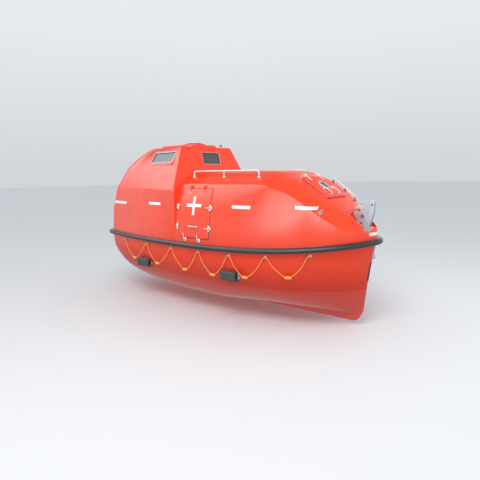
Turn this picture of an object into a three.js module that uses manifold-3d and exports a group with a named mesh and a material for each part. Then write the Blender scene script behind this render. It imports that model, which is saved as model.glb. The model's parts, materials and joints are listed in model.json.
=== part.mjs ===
// An enclosed lifeboat, floating upright, in millimetres.
// +X is the bow, +Y is port, +Z is up. Heights in this file are measured from the bottom of the
// keel; the finished group is lowered by the draught, so that z = 0 is the waterline.
import * as THREE from 'three';
import { mergeVertices } from 'three/addons/utils/BufferGeometryUtils.js';
import Module from 'manifold-3d';

const wasm = await Module();
wasm.setup();

// Driving dimensions

const DRAUGHT = 550;
const BOW_X = 2950;            // fender's centre line at the stem
const STERN_X = -2985;         // fender's centre line at the transom
const WIDEST_X = 53;
const BEAM_HALF = 1180;        // fender's centre line at the widest place
const QUARTER_X = -2600;
const QUARTER_TAPER = 323;     // how much the half breadth has narrowed at QUARTER_X
const CORNER_X = -2650;        // where the rounded transom corner starts
const GUNWALE_Z = 1148;        // the fender's centre amidships and aft
const BOW_RISE = 177;          // how much the gunwale rises to the bow
const FENDER_R = 45;
const SHELL_INSET = 40;        // from the fender's centre line in to the shell
const HULL_WALL = 60;
const CANOPY_WALL = 50;
const SEAT = 0.3;              // gap between pieces that touch
const RUNNING = 0.6;           // a bore's radius over its shaft's
const SHAFT_R = 25;
const STOCK_R = 23;
const PINTLE_R = 14;
const STEM_LEAN = 152;         // how far the stem has leaned back a metre below the gunwale
const STEM_CURVE = 0.741;      // below 1 the stem gets steeper towards the keel
const KEEL_HALF = 38;
const PROP_X = -2330;
const PROP_Z = 345;
const RUDDER_X = -2610;
const DOOR = { x0: -222, x1: 450, z0: 1304, z1: 2100 };
const DOOR_LAP = 22;
const HOOK_PIN = { x: 2690, z: 1700, radius: 11.6 };

// Materials

const paint = (color, roughness, metalness = 0) =>
  new THREE.MeshStandardMaterial({ color, roughness, metalness });

const ORANGE = paint(0xf4502f, 0.25);
const LINER = paint(0xd9d4c8, 0.5);
const RUBBER = paint(0x26282c, 0.7);
const WHITE = paint(0xe9e9ea, 0.4);
const GALVANISED = paint(0xb4bac0, 0.55, 0.7);
const BRONZE = paint(0xb08a4a, 0.35, 0.9);
const GLASS = paint(0x7d8f8c, 0.1);
const ROPE = paint(0xf08a3c, 0.85);
const CUSHION = paint(0x2d3a44, 0.8);
const IRON = paint(0x4a5a52, 0.5, 0.4);

// Solids: joining and cutting closed meshes

const identity = new THREE.Matrix4();

function toSolid(geometry, matrix = identity) {
  const bare = geometry.clone().applyMatrix4(matrix);
  bare.deleteAttribute('normal');
  bare.deleteAttribute('uv');
  const merged = mergeVertices(bare, 1e-3);
  const mesh = new wasm.Mesh({
    numProp: 3,
    vertProperties: new Float32Array(merged.attributes.position.array),
    triVerts: new Uint32Array(merged.index.array),
  });
  return new wasm.Manifold(mesh);
}

function toGeometry(solid) {
  const mesh = solid.getMesh();
  const geometry = new THREE.BufferGeometry();
  geometry.setAttribute('position', new THREE.BufferAttribute(mesh.vertProperties, 3));
  geometry.setIndex(new THREE.BufferAttribute(mesh.triVerts, 1));
  geometry.computeVertexNormals();
  return geometry;
}

const join = (...solids) => solids.reduce((sum, solid) => sum.add(solid));
const cut = (solid, ...tools) => tools.reduce((rest, tool) => rest.subtract(tool), solid);

function placed(x, y, z, rx = 0, ry = 0, rz = 0) {
  const turn = new THREE.Quaternion().setFromEuler(new THREE.Euler(rx, ry, rz, 'XYZ'));
  return new THREE.Matrix4().compose(new THREE.Vector3(x, y, z), turn, new THREE.Vector3(1, 1, 1));
}

// A box from its two corners.
const box = (x0, x1, y0, y1, z0, z1) =>
  toSolid(
    new THREE.BoxGeometry(x1 - x0, y1 - y0, z1 - z0),
    placed((x0 + x1) / 2, (y0 + y1) / 2, (z0 + z1) / 2),
  );

// A box of size [a, b, c] centred at a matrix.
const block = (size, matrix) => toSolid(new THREE.BoxGeometry(...size), matrix);

// A cylinder between two points.
function rod(from, to, radius, sides = 8) {
  const start = new THREE.Vector3(...from);
  const run = new THREE.Vector3(...to).sub(start);
  const turn = new THREE.Quaternion().setFromUnitVectors(
    new THREE.Vector3(0, 1, 0),
    run.clone().normalize(),
  );
  const middle = start.clone().addScaledVector(run, 0.5);
  const matrix = new THREE.Matrix4().compose(middle, turn, new THREE.Vector3(1, 1, 1));
  return toSolid(new THREE.CylinderGeometry(radius, radius, run.length(), sides), matrix);
}

// A flat outline in the X-Z plane, extruded from y0 to y1.
function sidePlate(points, y0, y1) {
  const shape = new THREE.Shape(points.map(([x, z]) => new THREE.Vector2(x, z)));
  const plate = new THREE.ExtrudeGeometry(shape, { depth: y1 - y0, bevelEnabled: false });
  return toSolid(plate, placed(0, y1, 0, Math.PI / 2));
}

// A round bar bent through a list of points, with round corners.
function bentBar(points, radius, corner, sides = 10, cornerSteps = 4) {
  const spots = points.map((point) => new THREE.Vector3(...point));
  const path = [spots[0]];
  for (let i = 1; i < spots.length - 1; i += 1) {
    const before = spots[i - 1].clone().sub(spots[i]).setLength(corner).add(spots[i]);
    const after = spots[i + 1].clone().sub(spots[i]).setLength(corner).add(spots[i]);
    const bend = new THREE.QuadraticBezierCurve3(before, spots[i], after);
    path.push(...bend.getPoints(cornerSteps));
  }
  path.push(spots[spots.length - 1]);
  return barAlong(path, radius, sides);
}

// A closed tube whose rings stand at the given points.
function barAlong(path, radius, sides) {
  const rings = [];
  const tangent = (i) =>
    path[Math.min(i + 1, path.length - 1)].clone().sub(path[Math.max(i - 1, 0)]).normalize();
  let side = new THREE.Vector3(0, 0, 1).cross(tangent(0));
  if (side.length() < 0.1) {
    side = new THREE.Vector3(0, 1, 0).cross(tangent(0));
  }
  path.forEach((point, i) => {
    const forward = tangent(i);
    side.addScaledVector(forward, -side.dot(forward)).normalize();
    const up = forward.clone().cross(side);
    const ring = [];
    for (let k = 0; k < sides; k += 1) {
      const angle = (2 * Math.PI * k) / sides;
      ring.push(point.clone()
        .addScaledVector(side, radius * Math.cos(angle))
        .addScaledVector(up, radius * Math.sin(angle)));
    }
    rings.push(ring);
  });
  return skin(rings);
}

// A closed solid through rings of equally many points, with flat ends; closed joins last to first.
function skin(rings, closed = false) {
  const count = rings[0].length;
  const positions = [];
  const triangles = [];
  rings.forEach((ring) => ring.forEach((p) => positions.push(p.x, p.y, p.z)));
  const last = closed ? rings.length : rings.length - 1;
  for (let i = 0; i < last; i += 1) {
    const next = (i + 1) % rings.length;
    for (let k = 0; k < count; k += 1) {
      const a = i * count + k;
      const b = i * count + ((k + 1) % count);
      const c = next * count + k;
      const d = next * count + ((k + 1) % count);
      // Both halves of a ring are split alike, so that port mirrors starboard.
      triangles.push(...(k < count >> 1 ? [a, b, d, a, d, c] : [a, b, c, b, d, c]));
    }
  }
  if (!closed) {
    // Each end is closed by strips from one side of its ring to the other.
    [[0, -1], [(rings.length - 1) * count, 1]].forEach(([start, way]) => {
      for (let k = 0; 2 * k < count - 2; k += 1) {
        const [a, b] = [start + k, start + k + 1];
        const [c, d] = [start + count - 1 - k, start + count - 2 - k];
        triangles.push(...(way > 0 ? [a, b, c] : [b, a, c]));
        if (b !== d) {
          triangles.push(...(way > 0 ? [b, d, c] : [d, b, c]));
        }
      }
    });
  }
  const geometry = new THREE.BufferGeometry();
  geometry.setAttribute('position', new THREE.Float32BufferAttribute(positions, 3));
  geometry.setIndex(triangles);
  const signed = signedVolume(positions, triangles);
  if (signed < 0) {
    geometry.setIndex(triangles.map((_, i) => triangles[i - (i % 3) + [0, 2, 1][i % 3]]));
  }
  return toSolid(geometry);
}

function signedVolume(positions, triangles) {
  let sum = 0;
  for (let i = 0; i < triangles.length; i += 3) {
    const [a, b, c] = [0, 1, 2].map((k) =>
      new THREE.Vector3().fromArray(positions, 3 * triangles[i + k]));
    sum += a.dot(b.cross(c));
  }
  return sum;
}

const mirrored = (solid) => solid.mirror([0, 1, 0]);
const bothSides = (solid) => join(solid, mirrored(solid));

// The boat's lines

// Half breadth at the gunwale, drawn in by `inset` from the fender's centre line.
function halfBreadth(x, inset) {
  if (x >= WIDEST_X) {
    const along = Math.min(1, (x - WIDEST_X) / (BOW_X - inset - WIDEST_X));
    return (BEAM_HALF - inset) * (1 - along ** 3.621) ** 0.644;
  }
  const aft = (WIDEST_X - x) / (WIDEST_X - QUARTER_X);
  const side = BEAM_HALF - inset - QUARTER_TAPER * aft ** 2;
  const corner = Math.min(1, Math.max(0, (CORNER_X + inset - x) / (CORNER_X - STERN_X)));
  return side * (1 - corner ** 3.2) ** 0.385;
}

const gunwale = (x) => GUNWALE_Z + (x > 0 ? BOW_RISE * (x / BOW_X) ** 2 : 0);

// Straight-line reading of a table row between its stations.
function between(table, x) {
  const last = table.length - 1;
  if (x <= table[0][0]) {
    return table[0];
  }
  for (let i = 0; i < last; i += 1) {
    const [low, high] = [table[i], table[i + 1]];
    if (x <= high[0]) {
      const part = (x - low[0]) / (high[0] - low[0]);
      return low.map((value, k) => value + (high[k] - value) * part);
    }
  }
  return table[last];
}

// Hull stations: x at the gunwale, height of the rounded bottom, roundness of the section.
const HULL_STATIONS = [
  [-2943, 640, 2.35],
  [-2915, 600, 2.4],
  [-2840, 530, 2.5],
  [-2705, 450, 2.6],
  [-2550, 370, 2.75],
  [-2330, 293, 2.95],
  [-2100, 228, 2.85],
  [-1550, 124, 2.6],
  [-1100, 86, 2.55],
  [-450, 61, 2.55],
  [200, 60, 2.55],
  [620, 92, 2.55],
  [1030, 125, 2.5],
  [1340, 140, 2.4],
  [1800, 130, 2.15],
  [2150, 115, 1.9],
  [2450, 95, 1.65],
  [2650, 80, 1.5],
  [2780, 80, 1.4],
  [2860, 105, 1.35],
  [2898, 150, 1.3],
];

const HULL_STEPS = 7;

const FORE_END = 2898;         // the shell's foremost station
const LEAN_START = 1400;       // aft of this the stations stand upright

// How far a point of station x lies aft of the station at height z.
const stemLean = (x, z) => {
  const forward = Math.max(0, (x - LEAN_START) / (FORE_END - LEAN_START));
  const drop = Math.max(0, gunwale(x) - z) / 1000;
  return STEM_LEAN * drop ** STEM_CURVE * forward ** 2;
};
const stemX = (z) => FORE_END - stemLean(FORE_END, z);

// One side of a hull section from the gunwale down to the keel.
function hullSide(x, inset, lift, raise) {
  const [, bottom, roundness] = between(HULL_STATIONS, x);
  const top = gunwale(x) + raise;
  const low = Math.max(bottom + lift, x < -1900 && lift > 0 ? 660 : 0);
  const beam = halfBreadth(x, SHELL_INSET + inset);
  const points = [];
  for (let i = 0; i <= HULL_STEPS; i += 1) {
    const angle = (Math.PI / 2) * (i / HULL_STEPS);
    const y = beam * Math.cos(angle) ** (2 / roundness);
    const z = top - (top - low) * Math.sin(angle) ** (2 / roundness);
    points.push(new THREE.Vector3(x - stemLean(x, z), y, z));
  }
  return points;
}

function hullForm(stations, inset, lift, raise) {
  return skin(stations.map((x) => {
    const port = hullSide(x, inset, lift, raise);
    const starboard = port.slice(0, -1).reverse().map((p) => new THREE.Vector3(p.x, -p.y, p.z));
    return [...port, ...starboard];
  }));
}

// Canopy stations: x, knuckle y and z, edge of the top y and z, ridge z.
const CANOPY_STATIONS = [
  [-700, 930, 2200, 500, 2415, 2432],
  [-100, 935, 2200, 500, 2415, 2432],
  [700, 938, 2200, 500, 2415, 2432],
  [1300, 932, 2200, 500, 2412, 2428],
  [1500, 930, 2188, 540, 2384, 2400],
  [1640, 918, 2162, 590, 2320, 2338],
  [1780, 905, 2118, 620, 2262, 2280],
  [1935, 893, 2040, 640, 2175, 2192],
  [2110, 868, 1930, 640, 2052, 2070],
  [2250, 826, 1822, 605, 1955, 1976],
  [2440, 712, 1672, 500, 1815, 1842],
  [2580, 590, 1572, 390, 1722, 1745],
  [2700, 455, 1505, 290, 1635, 1655],
  [2800, 335, 1490, 200, 1562, 1580],
  [2860, 236, 1487, 130, 1528, 1540],
  [2898, 140, 1488, 70, 1516, 1525],
];

const WALL_STEPS = 3;

// Stations of hull, canopy and fender alike, so that their edges match.
const HOUSE_FRONT = -352;
const QUARTER_STATIONS = [-1100, -1550, -2100, -2330, -2550];
const CORNER_STATIONS = [-2705, -2840, -2915, -2943];
const FORE_STATIONS = [
  HOUSE_FRONT, 200, 800, 1300, 1500, 1640, 1800, 1960, 2120, 2280, 2440, 2580, 2700, 2800, 2860,
  FORE_END,
];
const hullStations = [
  ...[...QUARTER_STATIONS, ...CORNER_STATIONS].sort((a, b) => a - b), ...FORE_STATIONS,
];
const innerStations = hullStations.filter((x) => x > CORNER_STATIONS[1] && x < 2800);
const canopyStations = [HOUSE_FRONT - 350, ...FORE_STATIONS];
const hallStations = canopyStations.filter((x) => x < 2650);

// One side of a canopy section from the gunwale up to the ridge.
function canopySide(x, thick, drop) {
  const [, knuckleY, knuckleZ, edgeY, edgeZ, ridgeZ] = between(CANOPY_STATIONS, x);
  const tuck = x < HOUSE_FRONT ? 12 : 0;
  const foot = new THREE.Vector2(halfBreadth(x, SHELL_INSET + thick + tuck), gunwale(x) + drop);
  const knuckle = new THREE.Vector2(
    Math.min(knuckleY - thick, foot.x - 4),
    knuckleZ - 0.6 * thick,
  );
  const lean = Math.min(foot.x, knuckle.x + (foot.x - knuckle.x) * 0.92);
  const swell = new THREE.Vector2(lean, foot.y + (knuckle.y - foot.y) * 0.62);
  const wall = new THREE.QuadraticBezierCurve(foot, swell, knuckle).getPoints(WALL_STEPS);
  const edge = new THREE.Vector2(Math.max(edgeY - 0.5 * thick, 8), edgeZ - thick);
  const middle = knuckle.clone().lerp(edge, 0.5).add(new THREE.Vector2(8, 12));
  const ridge = new THREE.Vector2(0, ridgeZ - thick);
  const inner = edge.clone().lerp(ridge, 0.5).add(new THREE.Vector2(0, 5));
  return [...wall, middle, edge, inner, ridge].map((p) => new THREE.Vector3(x, p.x, p.y));
}

function canopyForm(stations, thick, drop) {
  return skin(stations.map((x) => {
    const port = canopySide(x, thick, drop);
    const starboard = port.slice(0, -1).reverse().map((p) => new THREE.Vector3(p.x, -p.y, p.z));
    return [...port, ...starboard];
  }));
}

// Wheelhouse levels: z, front x, front half width, x where the aft corner starts, half width
// there, x at the middle of the stern, squareness of the aft corner.
const HOUSE_LEVELS = [
  [1148, -352, 1133, -2550, 826, -2943, 2.6],
  [1650, -352, 1132, -2545, 800, -2885, 2.6],
  [2095, -350, 1128, -2425, 750, -2800, 2.6],
  [2300, -400, 1016, -2250, 712, -2640, 2.6],
  [2530, -456, 892, -2040, 655, -2490, 2.6],
  [2740, -508, 778, -1800, 548, -2200, 2.6],
  [2860, -536, 715, -1600, 462, -1880, 3],
  [2890, -552, 690, -1580, 440, -1850, 3],
];

// One side of a wheelhouse level from the middle of its front round to the middle of the stern.
function houseSide(level, thick) {
  const [z, frontX, frontY, cornerX, cornerY, sternX, square] = level;
  const foot = z < GUNWALE_Z + 10;
  const shellY = (x) => halfBreadth(x, SHELL_INSET) - thick;
  const points = [[frontX - thick, 0], [frontX - thick, (frontY - thick) / 2]];
  points.push([frontX - thick, foot ? shellY(frontX) : frontY - thick]);
  QUARTER_STATIONS.forEach((station) => {
    const part = (HOUSE_FRONT - station) / (HOUSE_FRONT - QUARTER_STATIONS[4]);
    const x = frontX - thick + (cornerX - frontX + thick) * part;
    points.push(foot ? [station, shellY(station)] : [x, frontY + (cornerY - frontY) * part - thick]);
  });
  CORNER_STATIONS.forEach((station, i) => {
    const angle = (Math.PI / 2) * ((i + 1) / (CORNER_STATIONS.length + 1));
    const reach = Math.sin(angle) ** (2 / square);
    const width = Math.cos(angle) ** (2 / square);
    points.push(foot
      ? [station + thick, shellY(station)]
      : [cornerX + (sternX + thick - cornerX) * reach, (cornerY - thick) * width]);
  });
  points.push([sternX + thick, 0]);
  return points;
}

function houseForm(thick, drop) {
  const top = HOUSE_LEVELS.length - 1;
  return skin(HOUSE_LEVELS.map((level, i) => {
    const z = level[0] + (i === 0 ? drop : 0) - (i === top ? thick : 0);
    const port = houseSide(level, thick).map(([x, y]) => new THREE.Vector3(x, y, z));
    const starboard = port.slice(1, -1).reverse().map((p) => new THREE.Vector3(p.x, -p.y, p.z));
    return [...port, ...starboard];
  }));
}

// The closed outside of the hull and of the canopy, grown by a few tenths for seating pieces.
function hullSkin(grow = 0) {
  return hullForm(hullStations, -grow, -grow, grow);
}

function canopySkin(grow = 0) {
  return join(canopyForm(canopyStations, -grow, SEAT - grow), houseForm(-grow, SEAT - grow));
}

const outside = join(hullSkin(SEAT), canopySkin(SEAT));
const seated = (solid) => cut(solid, outside);

// Where a line through (x, z) across the boat meets the outside on the starboard side.
function sideY(x, z) {
  const house = houseY(x, z);
  if (house) {
    return house;
  }
  const side = z > gunwale(x) ? canopySide(x, 0, 0) : hullSide(x, 0, 0, 0).reverse();
  for (let i = 0; i < side.length - 1; i += 1) {
    const [low, high] = [side[i], side[i + 1]];
    if (z >= low.z && z <= high.z) {
      return low.y + ((high.y - low.y) * (z - low.z)) / (high.z - low.z);
    }
  }
  return side[side.length - 1].y;
}

function houseY(x, z) {
  if (x > -352 || z <= gunwale(x)) {
    return 0;
  }
  for (let i = 0; i < HOUSE_LEVELS.length - 1; i += 1) {
    const [low, high] = [HOUSE_LEVELS[i], HOUSE_LEVELS[i + 1]];
    if (z <= high[0]) {
      const part = (z - low[0]) / (high[0] - low[0]);
      const row = low.map((value, k) => value + (high[k] - value) * part);
      const along = (row[1] - x) / (row[1] - row[3]);
      return row[2] + (row[4] - row[2]) * Math.min(1, along);
    }
  }
  return 0;
}

// Height of the canopy's top at x and y, forward of the wheelhouse.
function deckZ(x, y) {
  const side = canopySide(x, 0, 0).slice(WALL_STEPS);
  for (let i = 0; i < side.length - 1; i += 1) {
    const [outer, inner] = [side[i], side[i + 1]];
    if (Math.abs(y) <= outer.y && Math.abs(y) >= inner.y) {
      return outer.z + ((inner.z - outer.z) * (outer.y - Math.abs(y))) / (outer.y - inner.y);
    }
  }
  return side[0].z;
}

// The assembly

const lifeboat = new THREE.Group();
lifeboat.position.z = -DRAUGHT;

function piece(name, solid, material) {
  const mesh = new THREE.Mesh(toGeometry(solid), material);
  mesh.name = name;
  lifeboat.add(mesh);
}

// Hull with keel, stem bar and the sole piece that guards the propeller

const STEM_NOSE = 5;           // how far the stem bar stands out ahead of the shell
const stemBar = (nose) => [250, 430, 620, 810, 1000, 1150, 1300].map((z) => [stemX(z) + nose, z]);
const keelBar = (half, nose) => sidePlate([
  [-2800, 0], [2560, 0], [2634, 14], [2684, 60], [2712, 130], ...stemBar(nose), [2780, 1300],
  [2560, 260], [-2150, 300], [-2190, 128], [-2900, 128], [-2925, 105], [-2900, 60],
], -half, half);

const sternTunnel = skin([
  [-3000, 640, 300], [-2750, 600, 290], [-2400, 575, 270], [-2230, 560, 230], [-2170, 330, 60],
].map(([x, top, half]) => [
  [half, 0], [half, top - 90], [half * 0.72, top - 22], [half * 0.3, top],
  [-half * 0.3, top], [-half * 0.72, top - 22], [-half, top - 90], [-half, 0],
].map(([y, z]) => new THREE.Vector3(x, y, z))));

const keelSeat = keelBar(KEEL_HALF + SEAT, STEM_NOSE + SEAT);
const hullInside = hullForm(innerStations, HULL_WALL, HULL_WALL, 5);
const sternTube = rod([PROP_X + 75, 0, PROP_Z], [-2080, 0, PROP_Z], 42);
const shaftBore = rod([PROP_X - 200, 0, PROP_Z], [-2120, 0, PROP_Z], SHAFT_R + RUNNING, 16);
const stockBore = rod([RUDDER_X, 0, 560], [RUDDER_X, 0, 640], STOCK_R + RUNNING, 16);
const hullOutside = cut(hullForm(hullStations, 0, 0, 0), sternTunnel);
const pintleBore = rod([RUDDER_X, 0, 90], [RUDDER_X, 0, 140], PINTLE_R + RUNNING, 16);
const keel = keelBar(KEEL_HALF, STEM_NOSE);
const hull = cut(join(hullOutside, keel, sternTube), hullInside, shaftBore, stockBore, pintleBore);

// Canopy with wheelhouse

const bowPocket = sidePlate(
  [[2470, 2100], [2495, 1530], [2560, 1478], [2872, 1478], [2884, 1520], [2884, 2100]], -250, 250);
const bowWell = sidePlate(
  [[2420, 2200], [2445, 1480], [2520, 1428], [2960, 1428], [2960, 2200]], -300, 300);
const sternPocket = sidePlate(
  [[-2470, 2400], [-2500, 1560], [-2560, 1520], [-3100, 1520], [-3100, 2400]], -230, 230);
const sternWell = sidePlate(
  [[-2420, 2450], [-2450, 1530], [-2530, 1470], [-3100, 1470], [-3100, 2450]], -280, 280);

const FORE_HATCH = { x: 2020, z: 2122, pitch: 0.6, length: 557, width: 650 };
const foreHatchFrame = placed(FORE_HATCH.x, 0, FORE_HATCH.z, 0, FORE_HATCH.pitch, 0);
const AFT_HATCH = { x: -2200, z: 2745, pitch: -0.47, length: 400, width: 520 };
const aftHatchFrame = placed(AFT_HATCH.x, 0, AFT_HATCH.z, 0, AFT_HATCH.pitch, 0);
const ROOF_HATCH = { x: -900, radius: 215, z: 2938 };
const COAMING = 14;            // how far a hatch's coaming stands above its frame's origin
const LID = 25;

// Plates in a hatch's own frame: length fore and aft, width across, from height low to high.
function hatchPlate(frame, length, width, low, high) {
  const centre = frame.clone().multiply(placed(0, 0, (low + high) / 2));
  return block([length, width, high - low], centre);
}

const foreCoaming = hatchPlate(foreHatchFrame, FORE_HATCH.length, FORE_HATCH.width, -120, COAMING);
const foreOpening = hatchPlate(foreHatchFrame, FORE_HATCH.length - 90, FORE_HATCH.width - 90, -300, 80);
const aftCoaming = hatchPlate(aftHatchFrame, AFT_HATCH.length, AFT_HATCH.width, -160, COAMING);
const aftOpening = hatchPlate(aftHatchFrame, AFT_HATCH.length - 90, AFT_HATCH.width - 90, -300, 80);
const roofPad = skin([[2870, 1], [2925, 1], [2938, 0.96]].map(([z, part]) => [
  [-700, 400], [-620, 340], [-620, -340], [-700, -400], [-1500, -330], [-1560, -270],
  [-1560, 270], [-1500, 330],
].map(([x, y]) => new THREE.Vector3(-1090 + (x + 1090) * part, y * part, z))));
const roofOpening = rod([ROOF_HATCH.x, 0, 2700], [ROOF_HATCH.x, 0, 3000], ROOF_HATCH.radius - 30, 24);

// Windows: centre of the opening on the outside, half length, half height, and the wall's lean.
const houseFront = { x: -503, z: 2668, lean: Math.atan2(189, 780) };
const frontWindowFrame = placed(houseFront.x, 55, houseFront.z, 0, -houseFront.lean, 0);

function sideWindowFrame(side) {
  const low = [-1050, houseY(-1050, 2600), 2600];
  const high = [-1050, houseY(-1050, 2790), 2790];
  const fore = [-700, houseY(-700, 2700), 2700];
  const aft = [-1400, houseY(-1400, 2700), 2700];
  const along = new THREE.Vector3(fore[0] - aft[0], side * (fore[1] - aft[1]), 0).normalize();
  const rise = new THREE.Vector3(0, side * (high[1] - low[1]), high[2] - low[2]).normalize();
  const out = along.clone().cross(rise).multiplyScalar(side > 0 ? -1 : 1).normalize();
  const up = out.clone().cross(along);
  const turn = new THREE.Matrix4().makeBasis(out, out.clone().cross(up).negate(), up);
  turn.setPosition(-1045, side * houseY(-1045, 2695), 2695);
  return turn;
}

// A plate in a window's own frame, its first axis pointing out of the wall.
const windowPlate = (frame, depth0, depth1, length, height) =>
  block([depth1 - depth0, length, height], frame.clone().multiply(placed((depth0 + depth1) / 2, 0, 0)));

const WINDOWS = [
  { name: 'front', frame: frontWindowFrame, length: 500, height: 240 },
  { name: 'port', frame: sideWindowFrame(1), length: 740, height: 220 },
  { name: 'starboard', frame: sideWindowFrame(-1), length: 740, height: 220 },
];
const PANE = 12;
const RIM = 24;

const windowHoles = WINDOWS.map(({ frame, length, height }) =>
  windowPlate(frame, -160, 120, length, height));

// The door's hole in the canopy's side, and the slab that the door is cut from.
const doorHole = (lap, side) => {
  const [y0, y1] = side > 0 ? [700, 1300] : [-1300, -700];
  return box(DOOR.x0 - lap, DOOR.x1 + lap, y0, y1, DOOR.z0 - lap, DOOR.z1 + lap);
};

const hall = join(canopyForm(hallStations, CANOPY_WALL, -6), houseForm(CANOPY_WALL, -6));
const canopyShell = cut(
  join(canopyForm(canopyStations, 0, SEAT), houseForm(0, SEAT), foreCoaming, aftCoaming, roofPad),
  cut(hall, bowWell, sternWell),
  bowPocket, sternPocket, foreOpening, aftOpening, roofOpening,
  doorHole(0, 1), doorHole(0, -1), ...windowHoles,
);

// Rubbing fender round the gunwale

function fenderRing() {
  const side = [...hullStations].reverse()
    .map((x) => new THREE.Vector3(x, halfBreadth(x, SHELL_INSET), gunwale(x)));
  const other = [...side].reverse().map((p) => new THREE.Vector3(p.x, -p.y, p.z));
  const loop = [...side, ...other];
  const back = [-1, 1].map((end) => [SEAT, end * FENDER_R * 0.8]);
  const bow = [1, 0.5, 0, -0.5, -1].map((part) => {
    const angle = part * 1.25;
    return [SHELL_INSET + FENDER_R * Math.cos(angle), FENDER_R * Math.sin(angle)];
  });
  const section = [back[0], back[1], ...bow];
  return skin(loop.map((p, i) => {
    const before = loop[(i + loop.length - 1) % loop.length];
    const after = loop[(i + 1) % loop.length];
    const first = p.clone().sub(before).setZ(0).normalize();
    const second = after.clone().sub(p).setZ(0).normalize();
    const along = first.clone().add(second).normalize();
    const mitre = 1 / Math.max(0.5, along.dot(first));
    const out = new THREE.Vector3(along.y, -along.x, 0).multiplyScalar(mitre);
    return section.map(([reach, rise]) =>
      p.clone().addScaledVector(out, reach).add(new THREE.Vector3(0, 0, rise)));
  }), true);
}

piece('fender', fenderRing(), RUBBER);

// Inside: sole, side benches, engine and helm

const hullRoom = hullForm(innerStations, HULL_WALL + SEAT, HULL_WALL + SEAT, 5);
const sole = hullRoom.intersect(box(-2700, 2500, -1200, 1200, 380, 420));
piece('sole', sole, LINER);

const BENCH_TOP = 780;
[['port', 1], ['starboard', -1]].forEach(([name, side]) => {
  const slab = box(-1900, 2200, side > 0 ? 520 : -1200, side > 0 ? 1200 : -520, 420 + SEAT, BENCH_TOP);
  piece(`bench_${name}`, hullRoom.intersect(slab), LINER);
});

const ENGINE_TOP = 1020;
piece('engine', join(
  box(-1560, -860, -250, 250, 420 + SEAT, 930),
  box(-1460, -960, -170, 170, 929, ENGINE_TOP),
), IRON);

const HELM = { x: -640, wheelX: -850, wheelZ: 1700, wheelR: 150 };
const console = join(
  box(HELM.x - 60, HELM.x + 60, -240, 240, 420 + SEAT, 1780),
  box(HELM.x - 130, HELM.x + 70, -260, 260, 1779, 1840),
  box(HELM.x - 140, HELM.x, -40, 40, HELM.wheelZ - 40, HELM.wheelZ + 40),
);
piece('helm_console', console, LINER);
const hubEnd = [HELM.wheelX - 10, 0, HELM.wheelZ];
piece('steering_wheel', join(
  rod([HELM.x - 140 - SEAT, 0, HELM.wheelZ], hubEnd, 16),
  toSolid(
    new THREE.TorusGeometry(HELM.wheelR, 12, 6, 18),
    placed(HELM.wheelX, 0, HELM.wheelZ, 0, Math.PI / 2, 0),
  ),
  ...[0, 2, 4].map((k) => rod(hubEnd, [
    HELM.wheelX,
    HELM.wheelR * Math.sin((k * Math.PI) / 3),
    HELM.wheelZ + HELM.wheelR * Math.cos((k * Math.PI) / 3),
  ], 8, 8)),
), RUBBER);

piece('helm_seat', join(
  rod([-1210, 0, ENGINE_TOP + SEAT], [-1210, 0, 1360], 45),
  box(-1430, -1010, -220, 220, 1359, 1440),
  box(-1430, -1360, -220, 220, 1439, 1900),
), CUSHION);

// Windows: a rim on the outside of the wall and a pane inside the opening

WINDOWS.forEach(({ name, frame, length, height }) => {
  piece(`window_rim_${name}`, cut(
    windowPlate(frame, -6, 14, length + 2 * RIM, height + 2 * RIM),
    windowPlate(frame, -40, 40, length - 2 * PANE, height - 2 * PANE),
    outside,
  ), WHITE);
  piece(`window_pane_${name}`,
    windowPlate(frame, -PANE - 7, -7, length - 2 * SEAT, height - 2 * SEAT), GLASS);
});

// Side doors, hinged along their top edges

const GROW = 12;
const doorFlange = cut(canopyForm(canopyStations, -GROW, SEAT), canopyForm(canopyStations, -SEAT, SEAT));
const doorPlug = cut(canopyForm(canopyStations, -SEAT - 1, SEAT), canopyForm(hallStations, CANOPY_WALL, -6));
const doorFaceSkin = canopyForm(canopyStations, -GROW - SEAT, SEAT);
const doorInnerSkin = canopyForm(canopyStations, -GROW + 2, SEAT);
const DOOR_AXIS_Z = DOOR.z1 + DOOR_LAP + 20;
const DOOR_AXIS_OUT = 28;
const doorAxisY = sideY(114, DOOR_AXIS_Z) + DOOR_AXIS_OUT;
const HINGE_X = [-40, 270];

// A frame lying on the outer face of the canopy's side at x and z: X along the boat, Y up the
// wall and Z out of it.
function wallFrame(x, z, side) {
  const high = sideY(x, z + 20);
  const low = sideY(x, z - 20);
  const fore = sideY(x + 20, z);
  const aft = sideY(x - 20, z);
  const up = new THREE.Vector3(0, side * (high - low), 40).normalize();
  const along = new THREE.Vector3(40, side * (fore - aft), 0).normalize();
  const out = along.clone().cross(up).multiplyScalar(-side).normalize();
  const across = up.clone().cross(out).normalize();
  const frame = new THREE.Matrix4().makeBasis(across, up, out);
  return frame.setPosition(x, side * sideY(x, z), z);
}

// Latches: x and z of the boss just outside the door's edge, and the way out from the door.
const LATCHES = [
  { x: 500, z: 1804, turn: 0 },
  { x: 498, z: 1462, turn: 0 },
  { x: -305, z: 1809, turn: Math.PI },
  { x: -290, z: 1470, turn: Math.PI },
  { x: -72, z: 1247, turn: -Math.PI / 2 },
  { x: 262, z: 1245, turn: -Math.PI / 2 },
];

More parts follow.
